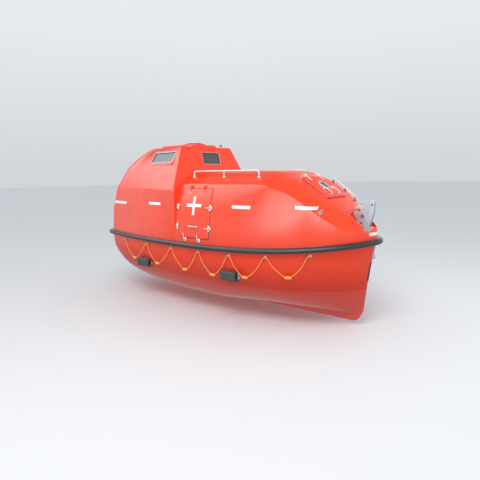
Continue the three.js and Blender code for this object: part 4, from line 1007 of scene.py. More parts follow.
def grab_route():
    """The starboard line's route from its aft eye to its forward one."""
    route = []
    for i, (x, y, z) in enumerate(EYES):
        if i:
            px, py, pz = EYES[i - 1]
            lx, lz = LOOPS[i - 1]
            ly = py + (y - py) * (lx - px) / (x - px)
            route += [
                (px + EYE_REACH, py, pz - EYE_DROP),
                (px + (lx - px) * SAG_SHARE, py + (ly - py) * SAG_SHARE,
                 lz + (pz - lz) * SAG_SHARE),
                (lx, ly, lz),
                (x - (x - lx) * SAG_SHARE, y - (y - ly) * SAG_SHARE, lz + (z - lz) * SAG_SHARE),
                (x - EYE_REACH, y, z - EYE_DROP),
            ]
        route.append((x, y, z))
    return np.array(route, float)


def through(points, steps):
    """A smooth curve through points, with steps points for each stretch."""
    p = np.concatenate([[2 * points[0] - points[1]], points, [2 * points[-1] - points[-2]]])
    out = []
    for i in range(1, len(p) - 2):
        a, b, c, d = p[i - 1:i + 3]
        t0, t1, t2 = (np.linalg.norm(v) ** 0.5 for v in (b - a, c - b, d - c))
        m1 = ((b - a) / t0 - (c - a) / (t0 + t1) + (c - b) / t1) * t1
        m2 = ((c - b) / t1 - (d - b) / (t1 + t2) + (d - c) / t2) * t1
        for s in np.arange(steps) / steps:
            out.append(
                b + m1 * s + (3 * (c - b) - 2 * m1 - m2) * s ** 2
                + (2 * (b - c) + m1 + m2) * s ** 3)
    out.append(points[-1])
    return np.array(out)


def evenly(path, step):
    """A path's points at even distances."""
    run = np.concatenate([[0], np.cumsum(np.linalg.norm(np.diff(path, axis=0), axis=1))])
    spots = np.linspace(0, run[-1], max(2, round(run[-1] / step)) + 1)
    return np.column_stack([np.interp(spots, run, path[:, k]) for k in range(3)]), run[-1]


def float_part(middle, along):
    """One float on the line: a foam spindle with a moulded seam."""
    profile = [(8, -57), (12, -56), (16, -50), (20, -40), (23, -24), (24, -8), (23.3, 0), (24, 8),
               (23, 24), (20, 40), (16, 50), (12, 56), (8, 57)]
    turn = Vector(along).to_track_quat("Z", "Y").to_matrix().to_4x4()
    return placed(turned(profile, 24), Matrix.Translation(middle) @ turn)


def eye_part(x, y, z):
    """A pad eye that carries the line: a plate on the hull, a ring and two screws."""
    hull_at = -hull_y(x, z)
    plate = box(x - 14, x + 14, hull_at - 4, hull_at + 8, z - 20, z + 20, 2)
    ring = station_ring(circle(14, 28) + (y, z), x)
    stub = bar([(x, hull_at - 2, z), (x, y + 12, z)], 5, 12)
    screws = [
        placed(screw_part(4), at(x, hull_at - 4, z + dz, math.pi / 2)) for dz in (-15, 15)]
    return joined(plate, bar(ring, 4.2, 10, closed=True), stub, *screws)


def screw_part(radius):
    """A domed screw head standing up along Z."""
    return turned([
        (radius, -1.5), (radius, 0.6), (radius * 0.82, radius * 0.34),
        (radius * 0.42, radius * 0.5), (0, radius * 0.54)], 12)


def hull_y(x, z):
    """Half the hull's breadth at x and z."""
    side = hull_side(x)[::-1]
    return float(np.interp(z, side[:, 2], side[:, 1]))


class LIFEBOAT_OT_camera(bpy.types.Operator):
    """Places the camera at the photograph's viewpoint"""

    bl_idname = "lifeboat.camera"
    bl_label = "Camera"

    def execute(self, context):
        yaw, pitch, roll = CAMERA_TURN
        ahead = Vector((
            -math.cos(yaw) * math.cos(pitch), math.sin(yaw) * math.cos(pitch), math.sin(pitch)))
        right = ahead.cross(Vector((0, 0, 1))).normalized()
        up = right.cross(ahead)
        level = math.cos(roll) * right + math.sin(roll) * up
        upright = math.cos(roll) * up - math.sin(roll) * right
        data = bpy.data.cameras.new("camera")
        data.sensor_width = SENSOR
        data.lens = CAMERA_PIXELS / PHOTO_PIXELS * SENSOR
        camera = bpy.data.objects.new("camera", data)
        camera.matrix_world = axes_at((level, upright, -ahead), CAMERA_PLACE)
        context.scene.collection.objects.link(camera)
        context.scene.camera = camera
        return {"FINISHED"}


class LIFEBOAT_OT_grab_lines(bpy.types.Operator):
    """Hangs the grab lines in loops from their eyes, each with its floats"""

    bl_idname = "lifeboat.grab_lines"
    bl_label = "Grab lines"

    def execute(self, context):
        sizes = context.scene.lifeboat_sizes
        radius = sizes.rope * 500
        path, total = evenly(through(grab_route(), 16), 5.0)
        turns = 2 * math.pi * total / (sizes.strand_pitch * 1000) / (len(path) - 1)

        def strands(i, angle):
            return 0.91 + 0.09 * np.cos(3 * (angle - turns * i))

        rope = bar(path, radius, 15, wave=strands)
        floats = []
        for x, _ in LOOPS:
            low = np.where(path[:, 2] < FLOAT_TOP)[0]
            i = low[np.argmin(abs(path[low, 0] - x))]
            floats.append(float_part(path[i], path[i + 3] - path[i - 3]))
        floats = joined(*floats)
        sleeves = joined(*[
            bar([path[i], path[i + way * 5], path[i + way * 10]], radius + 3, 14)
            for i, way in ((1, 1), (len(path) - 2, -1))])
        eyes = joined(*[eye_part(*eye) for eye in EYES])
        for name, side in SIDES:
            line = piece(f"grab_line_rope_{name}", on_side(rope, side), "rope",
                         stands_for=[f"grab_line_{name}"], sharp=80)
            buoys = piece(f"grab_line_floats_{name}", on_side(floats, side), "float", sharp=50)
            ends = piece(f"grab_line_whippings_{name}", on_side(sleeves, side), "webbing", sharp=50)
            piece(f"grab_line_eyes_{name}", on_side(eyes, side), "white_paint")
        return {"FINISHED"}


# ---- Hull, canopy and fender ----


EYE_Z, STRIP_Z = 1083, (690, 990)     # heights of the stem's eye and of its strip


def keel_outline():
    """The keel bar and stem from the side."""
    stem = [(stem_x(z) + 5, z) for z in np.linspace(190, 1290, 24)]
    return [
        (-2800, 0), (2560, 0), (2600, 4), (2634, 14), (2662, 33), (2684, 60), (2700, 93),
        (2715, 135), *stem, (2780, 1290), (2560, 260), (-2150, 300), (-2190, 128), (-2900, 128),
        (-2920, 118), (-2925, 105), (-2920, 82), (-2900, 60),
    ]


def tunnel_part():
    """The propeller's tunnel under the stern."""
    rings = []
    for x, top, half in [
            (-3000, 640, 300), (-2750, 600, 290), (-2400, 575, 270), (-2230, 560, 230),
            (-2170, 330, 60)]:
        line = [
            (half, 0), (half, top - 90), (half * 0.72, top - 22), (half * 0.3, top),
            (-half * 0.3, top), (-half * 0.72, top - 22), (-half, top - 90), (-half, 0)]
        curve = rounded(line, [0, 70, 80, 80, 80, 80, 70, 0], 4, ring=True)
        rings.append(station_ring(curve, x))
    return loft(rings)


class LIFEBOAT_OT_hull(bpy.types.Operator):
    """Builds the hollow hull with its keel bar, stem and propeller tunnel"""

    bl_idname = "lifeboat.hull"
    bl_label = "Hull"

    def execute(self, context):
        shaft, stock, pintle = 25.6, 23.6, 14.6
        # The tunnel is cut last, so it takes the keel's sole piece and the tube's aft end as well.
        shape = shaped(
            hull_form(),
            added=[
                side_prism(keel_outline(), -KEEL_HALF, KEEL_HALF, 9),
                rod((PROP_X + 75, 0, PROP_Z), (-2080, 0, PROP_Z), 42),
            ],
            removed=[
                tunnel_part(), hull_form(HULL_WALL, HULL_WALL, 5),
                rod((PROP_X - 200, 0, PROP_Z), (-2120, 0, PROP_Z), shaft),
                rod((RUDDER_X, 0, 560), (RUDDER_X, 0, 640), stock),
                rod((RUDDER_X, 0, 90), (RUDDER_X, 0, 140), pintle),
            ])
        piece("hull_shell", shape, "gelcoat", stands_for=["hull"], sharp=32)
        low, high = STRIP_Z
        strip = [(2700, low), *((stem_x(z) + 14, z) for z in np.linspace(low, high, 7)),
                 (2700, high)]
        # Painted shade: the stem's metal band is finished black, standing for the shade it lies in.
        piece("stem_strip_plate", side_prism(strip, -26, 26, 3), "black_plastic",
              stands_for=["stem_strip"])
        nose = stem_x(EYE_Z)
        ear = shaped(
            side_prism([
                (nose - 30, 1040), (stem_x(1040) + 22, 1040), (nose + 48, 1052), (nose + 58, 1062),
                (nose + 61, EYE_Z), (nose + 58, 1104), (nose + 46, 1114), (stem_x(1126) + 22, 1126),
                (nose - 30, 1126)], -9, 9, 2),
            removed=[cross_rod(nose + 33, EYE_Z, 30, 13, 32)])
        piece("stem_eye_plate", ear, "galvanised", stands_for=["stem_eye"])
        return {"FINISHED"}


# Side views of the pockets for the lifting hooks, and of what the canopy's inside leaves round them
POCKETS = (
    ([(2470, 2100), (2495, 1530), (2560, 1478), (2872, 1478), (2884, 1520), (2884, 2100)],
     [(2420, 2200), (2445, 1480), (2520, 1428), (2960, 1428), (2960, 2200)], 250),
    ([(-2470, 2400), (-2500, 1560), (-2560, 1520), (-3100, 1520), (-3100, 2400)],
     [(-2420, 2450), (-2450, 1530), (-2530, 1470), (-3100, 1470), (-3100, 2450)], 230),
)
PAD_MIDDLE = (-1090, 0)


def pocket(outline, half, corner=0.0):
    """A pocket's outline cut across the boat."""
    line = rounded(outline, corner, 5, ring=True) if corner else outline
    return side_prism(line, -half, half)


def hatch_hole(hatch):
    """The opening under a hatch."""
    half = (hatch["length"] / 2 - 45, hatch["width"] / 2 - 45)
    return placed(prism(rounded_rect(half, 35), -300, 80), hatch["frame"])


def roof_pad():
    """The raised pad on the wheelhouse's roof."""
    rings = []
    for z, part in [(2870, 1), (2922, 1), (2931, 0.994), (2936, 0.98), (2938, 0.96)]:
        line = np.array([
            (-700, 400), (-620, 340), (-620, -340), (-700, -400), (-1500, -330), (-1560, -270),
            (-1560, 270), (-1500, 330)], float)
        line = rounded((line - PAD_MIDDLE) * part + PAD_MIDDLE, 40, 4, ring=True)
        rings.append(level_ring(line, z))
    return loft(rings)


class LIFEBOAT_OT_canopy(bpy.types.Operator):
    """Builds the hollow canopy with its wheelhouse, coamings, pockets and openings"""

    bl_idname = "lifeboat.canopy"
    bl_label = "Canopy"

    def execute(self, context):
        corner = context.scene.lifeboat_sizes.door_corner * 1000
        cavity = shaped(
            canopy_form(CANOPY_WALL, -6, 2580), added=[house_form(CANOPY_WALL, -6)],
            removed=[pocket(room, half + CANOPY_WALL) for _, room, half in POCKETS])
        doorway = rounded_rect(DOOR_HALF, (25, 25, corner, corner), middle=DOOR_MIDDLE)
        holes = [
            *(pocket(outline, half, 18) for outline, _, half in POCKETS),
            hatch_hole(FORE_HATCH), hatch_hole(AFT_HATCH),
            rod((ROOF_HATCH["x"], 0, 2700), (ROOF_HATCH["x"], 0, 3000), ROOF_HATCH["radius"] - 30,
                40),
            side_prism(doorway, 700, 1300), side_prism(doorway, -1300, -700),
        ]
        for window, across, high in WINDOWS.values():
            opening = prism(rounded_rect((across / 2, high / 2), 26), -160, 120)
            holes.append(placed(opening, window @ ON_WINDOW))
        coamings = []
        for hatch, depth in ((FORE_HATCH, -120), (AFT_HATCH, -160)):
            outline = rounded_rect((hatch["length"] / 2, hatch["width"] / 2), 30)
            coamings.append(placed(prism(outline, depth, COAMING, 4), hatch["frame"]))
        shape = shaped(
            canopy_form(), added=[house_form(), *coamings, roof_pad()], removed=[cavity, *holes])
        piece("canopy_shell", shape, "gelcoat", stands_for=["canopy"], sharp=32)
        return {"FINISHED"}


class LIFEBOAT_OT_fender(bpy.types.Operator):
    """Runs the rubbing fender round the gunwale"""

    bl_idname = "lifeboat.fender"
    bl_label = "Rubbing fender"

    def execute(self, context):
        line = stations(AFT_END, NOSE_END - 0.2, 45, [(NOSE_END - 0.2, 1, 320), (AFT_END, -1, 260)])
        side = np.array([(x, half_breadth(x), gunwale(x)) for x in line[::-1]])
        ring = np.concatenate([side, side[::-1] * (1, -1, 1)])
        ahead = np.roll(ring, -1, 0) - np.roll(ring, 1, 0)
        ahead[:, 2] = 0
        ahead /= np.linalg.norm(ahead, axis=1)[:, None]
        out = np.column_stack([ahead[:, 1], -ahead[:, 0], np.zeros(len(ring))])
        section = [(0.3, -38), (0.3, 38), (14, 42)]
        section += [
            (SHELL_INSET + FENDER_R * math.cos(a), FENDER_R * math.sin(a))
            for a in np.linspace(1.35, -1.35, 13)]
        section.append((14, -42))
        rings = [ring + out * reach + (0, 0, rise) for reach, rise in section]
        part = loft(np.stack(rings, 1), closed=True)
        piece("rubbing_fender", part, "fender_rubber", stands_for=["fender"], sharp=50)
        return {"FINISHED"}


# ---- Shared fittings ----


def ring_of(half, radii, inset, height, scale=1.0, middle=(0, 0)):
    """A rounded rectangle's ring at a height, drawn in by inset."""
    size = [max(h - inset, 0.5) * scale for h in half]
    corner = [max(r - inset, 1.0) * scale for r in np.broadcast_to(radii, 4)]
    arcs = rounded_rect(size, corner, middle).reshape(4, ARC_STEPS, 2)
    out = []
    for i, arc in enumerate(arcs):
        step = (arcs[(i + 1) % 4][0] - arc[-1]) / (EDGE_STEPS + 1)
        out += [*arc, *(arc[-1] + step * k for k in range(1, EDGE_STEPS + 1))]
    return level_ring(out, height)


def laid(rings, mapped):
    """Rings whose flat points are placed by mapped."""
    rings = np.array(rings)
    if mapped is None:
        return rings
    return np.array([mapped(*p) for p in rings.reshape(-1, 3)]).reshape(rings.shape)


def panel(half, radii, levels, middle=(0, 0), mapped=None):
    """A closed panel. levels are (inset, height) from its face round the edge to its back, and
    mapped places its flat points."""
    inner = (0.02, 0.25, 0.5, 0.75, 0.93)
    rings = [ring_of(half, radii, *levels[0], s, middle) for s in inner]
    rings += [ring_of(half, radii, *level, 1.0, middle) for level in levels]
    rings += [ring_of(half, radii, *levels[-1], s, middle) for s in inner[::-1]]
    return loft(laid(rings, mapped))


def rim(half, radii, section, middle=(0, 0), mapped=None):
    """A frame round a rounded rectangle, from a closed section of (inset, height)."""
    rings = [ring_of(half, radii, *level, 1.0, middle) for level in section]
    return loft(laid(rings, mapped), closed=True)


def bolt_part(radius, height):
    """A hexagon head on its washer."""
    corners = [(radius * math.cos(a), radius * math.sin(a)) for a in np.arange(6) * math.pi / 3]
    washer = turned([(radius * 1.45, -1), (radius * 1.45, 1), (radius * 1.3, 1.6), (0, 1.6)], 20)
    return joined(washer, prism(corners, 1.2, height, 0.8))


def upright_plate(outline, x0, x1, edge=0.0):
    """An outline in the Y-Z plane from x0 to x1."""
    points, faces = prism(outline, x0, x1, edge)
    return points[:, [2, 0, 1]], faces


def on_door_wall(side):
    """Places a point of x, height up the wall and distance out of it."""
    def place(x, z, depth):
        y, height = wall_point(x, z, depth)
        return x, side * y, height
    return place


# x and height of each latch, and the turn of its lever
LATCHES = [
    (500, 1804, 0), (498, 1462, 0), (-305, 1809, math.pi), (-290, 1470, math.pi),
    (-72, 1247, -math.pi / 2), (262, 1245, -math.pi / 2),
]


def door_latch(x, z, turn, side):
    """A latch: its ear, its plate with the boss, the lever and the pin, whose black cap paints the
    dark hole at the boss's middle.
    """
    frame = wall_frame(x, z, side) @ at(0, 0, DOOR_OUT, 0, 0, math.pi - turn if side > 0 else turn)
    ear = box(-78, 0, -15, 15, -10, 5, 3)
    below = abs(turn) < 2 and turn != 0
    if below:
        outline = rounded([(-34, -34), (34, -34), (34, 34), (-34, 34)], [32] * 4, 8, ring=True)
    else:
        outline = rounded([(-36, -56), (-4, -46), (36, 0), (-4, 46), (-36, 56)],
                          [6, 26, 14, 26, 6], 5, ring=True)
    plate = joined(
        prism(outline, -4, 6, 2), prism(outline * 0.7 + (-2, 0), 5.5, 13, 3),
        turned([(17, 10), (17, 18), (15, 20), (12, 20), (12, 16), (0, 16)], 28))
    off = side * 30 if below else 0
    reach = 0.3 if x < -200 else 1
    path = [(-4, off, 12), (-40 * reach, off, 17), (-80 * reach, off, 20), (-108 * reach, off, 22),
            (-114 * reach, off, 22.5)]
    grip = bar(path, 5.5, 14,
               wave=lambda i, a: (1 if i < 4 else 0.72) * (0.85 + 0.35 * np.cos(a) ** 2))
    # Painted shade: the pin's cap is black, so that the boss's middle shows as a dark hole.
    pin = turned([(11.5, 15), (11.5, 21.6), (8, 23.4), (0, 23.4)], 24)
    return [placed(part, frame) for part in (ear, plate, grip, pin)]


def axis_rod(x0, x1, side, radius):
    """A round bar on a door's hinge axis."""
    y = side * DOOR_AXIS_Y
    return rod((x0, y, DOOR_AXIS_Z), (x1, y, DOOR_AXIS_Z), radius)


def door_strap(x, side):
    """A hinge strap on a door: its leaf, web and knuckle."""
    wall = on_door_wall(side)
    leaf = panel((38, 28), 8, [(2, 16.5), (0.4, 15.8), (0, 14.5), (0, 12.2)], (x, 2040), wall)
    tongue = panel((13, 30), 4, [(2, 18.5), (0.4, 17.6), (0, 16), (0, 12.2)], (x, 2078), wall)
    low, high = wall(x, 2096, 12.5), wall(x, 2104, 18.5)
    web = upright_plate([
        low[1:], high[1:], (side * (DOOR_AXIS_Y + 9), DOOR_AXIS_Z - 2),
        (side * (DOOR_AXIS_Y - 9), DOOR_AXIS_Z - 2)], x - 12, x + 12, 1.5)
    knuckle = axis_rod(x - 12, x + 12, side, KNUCKLE_R)
    bolts = [
        placed(bolt_part(5.5, 5), wall_frame(x + dx, z, side) @ at(0, 0, 16.4))
        for dx in (-26, 26) for z in (2026, 2054)]
    return joined(leaf, tongue, web, knuckle), joined(*bolts)


def door_bracket(x, side):
    """A hinge bracket on the canopy above a door: its foot, two ears and the pin."""
    wall = on_door_wall(side)
    foot = panel((40, 20), 6, [(2, 6), (0.4, 5.4), (0, 4), (0, 0.6)], (x, 2182), wall)
    low, high = wall(x, 2163, 2), wall(x, 2198, 6)
    parts = [foot]
    for dx in (-20, 20):
        outline = [
            (side * (DOOR_AXIS_Y - 10), DOOR_AXIS_Z - 3),
            (side * (DOOR_AXIS_Y + 10), DOOR_AXIS_Z + 3), high[1:], low[1:]]
        parts.append(upright_plate(outline, x + dx - 6, x + dx + 6, 1.5))
        parts.append(axis_rod(x + dx - 7, x + dx + 7, side, KNUCKLE_R))
    pin = axis_rod(x - 30, x + 30, side, PIN_R)
    bolts = [
        placed(bolt_part(5.5, 5), wall_frame(x + dx, z, side) @ at(0, 0, 5.8))
        for dx in (-33, 33) for z in (2172, 2192)]
    return joined(*parts), joined(pin, *bolts)


class LIFEBOAT_OT_doors(bpy.types.Operator):
    """Builds the side doors with their latches, hinges, handles and gaskets, each gasket a dark red
    rim that paints the shadow line round its door
    """

    bl_idname = "lifeboat.doors"
    bl_label = "Side doors"

    def execute(self, context):
        corner = context.scene.lifeboat_sizes.door_corner * 1000 + DOOR_LAP
        half = [h + DOOR_LAP for h in DOOR_HALF]
        radii = (12, 12, corner, corner)
        for name, side in SIDES:
            body, wall = f"side_door_{name}", on_door_wall(side)
            levels = [(9, DOOR_OUT), (5, 11.6), (2, 10.2), (0.4, 8), (0, 5.5), (0, 0.6), (28, 0.6),
                      (28, -46), (31, -49.5)]
            leaf = panel(half, radii, levels, DOOR_MIDDLE, wall)
            ears, plates, grips, pins = zip(*[door_latch(*spot, side) for spot in LATCHES])
            piece(f"door_leaf_{name}", joined(leaf, *ears), "lid_gelcoat", body,
                  stands_for=[f"door_{name}"])
            # Painted shade: the seal stands 8 mm out round the door's edge in dark red, to paint
            # the shadow line round the door.
            seal = [(-8, 0.9), (-8, 3), (-5, 5.5), (0.8, 6), (0.8, 0.9)]
            gasket = rim(half, radii, seal, DOOR_MIDDLE, wall)
            piece(f"door_gasket_{name}", gasket, "seal_shadow_rubber", body)
            piece(f"door_latch_plates_{name}", joined(*plates, *grips), "white_paint", body)
            # The latch pins' black caps paint the dark holes in the latch bosses.
            piece(f"door_latch_pins_{name}", joined(*pins), "black_plastic", body)
            straps, bolts = zip(*[door_strap(x, side) for x in HINGE_X])
            piece(f"door_straps_{name}", joined(*straps), "lid_gelcoat", body)
            piece(f"door_strap_bolts_{name}", joined(*bolts), "stainless", body)
            frame = wall_frame(110, 1492, side)
            ends = ((-88, -2), (-88, 40), (88, 40), (88, -2))
            grip = bent([(x, -12, DOOR_OUT + out) for x, out in ends], 8, 16, 16)
            foot = turned([(16, 0.4), (16, 3), (13, 5), (0, 5)], 24)
            feet = [placed(foot, at(x, -12, DOOR_OUT)) for x in (-88, 88)]
            piece(f"door_grip_{name}", placed(joined(grip, *feet), frame), "white_paint", body,
                  stands_for=[f"door_handle_{name}"])
            brackets, pins = zip(*[door_bracket(x, side) for x in HINGE_X])
            piece(f"door_brackets_{name}", joined(*brackets), "lid_gelcoat")
            piece(f"door_pins_{name}", joined(*pins), "stainless")
        return {"FINISHED"}


def hatch_hinges(hatch, way, spread):
    """Straps, bolts and brackets of a hatch. way is 1 where the lid lies forward of its hinge and
    -1 where it lies aft of it."""
    edge = -way * (hatch["length"] / 2 + HATCH_BACK)
    top = COAMING + SEAT + LID
    straps, bolts, brackets = [], [], []
    for y in (-spread, spread):
        near, far = sorted((edge, edge + way * 130))
        straps += [
            placed(prism(rounded_rect(((far - near) / 2, 12), (10 if way > 0 else 2, 2, 2, 10)),
                         top, top + 8.5, 1.5), at((near + far) / 2, y, 0)),
            cross_rod(edge, HATCH_OUT, 12, KNUCKLE_R, middle=y),
        ]
        bolts += [
            placed(bolt_part(6, 5.5), at(edge + way * reach, y, top + 8.6)) for reach in (62, 108)]
        for dy in (-20, 20):
            outline = [(edge - 12, -60), (edge + 12, -60), (edge + 11, HATCH_OUT)]
            outline += [
                (edge + KNUCKLE_R * math.cos(a), HATCH_OUT + KNUCKLE_R * math.sin(a))
                for a in np.linspace(0.4, math.pi - 0.4, 7)]
            outline.append((edge - 11, HATCH_OUT))
            brackets.append(side_prism(outline, y + dy - 7, y + dy + 7, 1))
        brackets.append(cross_rod(edge, HATCH_OUT, 30, PIN_R, middle=y))
        for dy in (-20, 20):
            neck = [
                (edge - way * back, y + dy, z)
                for back, z in ((50, -30), (54, 18), (34, 46), (14, 48), (3, HATCH_OUT))]
            brackets.append(bar(through(np.array(neck, float), 6), 7, 12))
    return [placed(joined(*parts), hatch["frame"]) for parts in (straps, bolts, brackets)]


def crowned(rise, half):
    """Raises a lid's face to a low ridge along the boat's middle."""
    def place(x, y, z):
        return x, y, z + (rise * (1 - abs(y) / half) if z > COAMING + 12 else 0)
    return place


class LIFEBOAT_OT_hatches(bpy.types.Operator):
    """Builds the fore, aft and roof hatches with hinges, levers and porthole"""

    bl_idname = "lifeboat.hatches"
    bl_label = "Hatches"

    def execute(self, context):
        low, top = COAMING + SEAT, COAMING + SEAT + LID
        levels = [(14, top), (8, top - 1), (3.5, top - 4), (1, top - 9), (0, top - 15), (0, low)]
        spots = (("bow_hatch", "fore_hatch_lid", FORE_HATCH, 1, 205, 9),
                 ("stern_hatch", "aft_hatch_lid", AFT_HATCH, -1, 160, 6))
        for name, body, hatch, way, spread, rise in spots:
            half = (hatch["length"] / 2, hatch["width"] / 2)
            lid = panel(half, 34, levels, mapped=crowned(rise, half[1]))
            holes = [rod((-20, -30, -60), (-20, -30, 120), 78, 48)] if way > 0 else []
            shape = shaped(placed(lid, hatch["frame"]),
                           removed=[placed(hole, hatch["frame"]) for hole in holes])
            piece(f"{name}_lid", shape, "lid_gelcoat", body, stands_for=[name])
            seal = [(4, low - 4), (-1.2, low - 4), (-1.2, low + 1.5), (0, low + 3), (4, low + 3)]
            piece(f"{name}_gasket", placed(rim(half, 34, seal), hatch["frame"]), "gasket", body)
            straps, bolts, brackets = hatch_hinges(hatch, way, spread)
            piece(f"{name}_straps", straps, "white_paint", body)
            piece(f"{name}_strap_bolts", bolts, "stainless", body)
            piece(f"{name}_brackets", brackets, "white_paint")

        frame = FORE_HATCH["frame"]
        port = at(-20, -30, top + 6)
        rim_part = hoop([
            (78.5, -8), (78.5, 11), (81, 14), (98, 14), (103, 11), (105.5, 5), (106, 0), (106, -8)],
            56)
        piece("porthole_rim", placed(rim_part, frame @ port), "galvanised", "fore_hatch_lid",
              stands_for=["bow_hatch_porthole_rim"])
        screws = [
            placed(screw_part(5), frame @ port @ at(92 * math.cos(a), 92 * math.sin(a), 13.8))
            for a in np.arange(8) * math.pi / 4]
        piece("porthole_screws", joined(*screws), "stainless", "fore_hatch_lid")
        seal = hoop([(78, -6), (78, 0), (74, 1), (71, -3), (71, -6)], 48)
        piece("porthole_gasket", placed(seal, frame @ port), "gasket", "fore_hatch_lid")
        for name, y in (("starboard", -150), ("port", 120)):
            path = [(60, y, top + 1), (60, y, top + 26), (214, y, top + 34),
                    (240, y - 30, top + 34), (232, y - 72, top + 16)]
            foot = placed(turned([(22, -1), (22, 4), (19, 7), (11, 9), (10, 22), (0, 22)], 28),
                          at(60, y, top + 5))
            lever = placed(joined(bent(path, 7.5, 14, 16), foot), frame)
            piece(f"fore_lever_{name}", lever, "white_paint", "fore_hatch_lid",
                  stands_for=[f"bow_hatch_lever_{name}"])

        radius, z, x = ROOF_HATCH["radius"], ROOF_HATCH["z"], ROOF_HATCH["x"]
        seat = at(x, 0, z + SEAT)
        profile = [
            (0, 0), (radius - 8, 0), (radius - 3, 1), (radius, 5), (radius, 18), (radius - 4, 24),
            (radius - 14, 29), (radius - 34, 32), (132, 34), (0, 36)]
        lid = placed(turned(profile, 72), seat)
        dome = turned([(128, 33), (128, 40), (122, 48), (108, 56), (84, 63), (55, 67.5),
                       (25, 69.2), (0, 69.5)], 56)
        piece("roof_lid_dome", placed(dome, seat), "white_paint", "roof_hatch_lid")
        seal = hoop([(127, 33), (136, 33), (137, 39), (133, 44), (127, 44)], 56)
        piece("roof_lid_seal", placed(seal, seat), "gasket", "roof_hatch_lid")
        hinge_x, hinge_z = x - radius - 22, z + 26
        arm = box(hinge_x, x - radius + 44, -12, 12, z + 17, z + 27, 2)
        knuckle = cross_rod(hinge_x, hinge_z, 12, KNUCKLE_R)
        piece("roof_lid", joined(lid, arm, knuckle), "lid_gelcoat", "roof_hatch_lid",
              stands_for=["roof_hatch"])
        ear = [(hinge_x - 16, z + SEAT), (hinge_x + 8, z + SEAT)]
        ear += [(hinge_x + dx, hinge_z + dz)
                for dx, dz in ((10, 0), (6, 9), (0, 11), (-8, 8), (-12, 0))]
        ears = [side_prism(ear, y - 7, y + 7, 1.5) for y in (-20, 20)]
        pin = cross_rod(hinge_x, hinge_z, 30, PIN_R)
        piece("roof_lid_bracket", joined(*ears, pin), "white_paint",
              stands_for=["roof_hatch_bracket"])
        return {"FINISHED"}


class LIFEBOAT_OT_windows(bpy.types.Operator):
    """Builds the window rims with their gaskets and screws"""

    bl_idname = "lifeboat.windows"
    bl_label = "Windows"

    def execute(self, context):
        sizes = context.scene.lifeboat_sizes
        outer = -WINDOW_RIM * 0.5
        section = [(outer, -3), (outer, 5), (outer + 3, 8), (PANE - 4, 8), (PANE - 1, 6.5),
                   (PANE, 4), (PANE, -6), (2, -6), (2, -3)]
        flange = [(-58, -2), (-58, 1.2), (-55, 2.6), (outer - SEAT, 2.6), (outer - SEAT, -2)]
        seal = [(PANE - 1, -6.5), (PANE - 1, 4), (PANE + 3, 3), (PANE + 8, -4), (PANE + 8, -6.5)]
        for name, (frame, across, high) in WINDOWS.items():
            lie = frame @ ON_WINDOW
            half = (across / 2, high / 2)
            piece(f"window_frame_{name}", placed(rim(half, 26, section), lie), "galvanised",
                  stands_for=[f"window_rim_{name}"])
            piece(f"window_flange_{name}", placed(rim(half, 26, flange), lie), "lid_gelcoat")
            piece(f"window_gasket_{name}", placed(rim(half, 26, seal), lie), "gasket")
            long_side = round(sizes.window_screws * across / SIDE_WINDOW)
            spots = [(x, y) for y in (-half[1] - 40, half[1] + 40)
                     for x in np.linspace(-half[0] - 10, half[0] + 10, long_side)]
            spots += [(x, y) for x in (-half[0] - 40, half[0] + 40)
                      for y in np.linspace(-half[1] + 20, half[1] - 20, 3)]
            screws = [placed(screw_part(sizes.screw * 1000), lie @ at(x, y, 2.6)) for x, y in spots]
            piece(f"window_screws_{name}", joined(*screws), "stainless")
        return {"FINISHED"}


# Side views of the bow hook's frame and jaw, and the jaw's pin
HOOK_FOOT = 1478.3
CHEEK = [
    (2560, HOOK_FOOT), (2868, HOOK_FOOT), (2868, 1500), (2800, 1520), (2868, 1750), (2876, 1935),
    (2858, 1948), (2806, 1944), (2735, 1800), (2690, 1770), (2660, 1660), (2560, 1600),
]
LOBE = [
    (2722, 1700), (2700, 1760), (2708, 1830), (2690, 1862), (2640, 1876), (2585, 1860),
    (2548, 1810), (2538, 1745), (2552, 1690), (2590, 1640), (2640, 1622), (2690, 1640),
]
HOOK_X, HOOK_Z = 2690.0, 1700.0


def ends_turned(points, way, lift):
    """Points of the bow's side view turned end for end and raised."""
    line = [(way * x, z + lift) for x, z in points]
    return line if way > 0 else line[::-1]


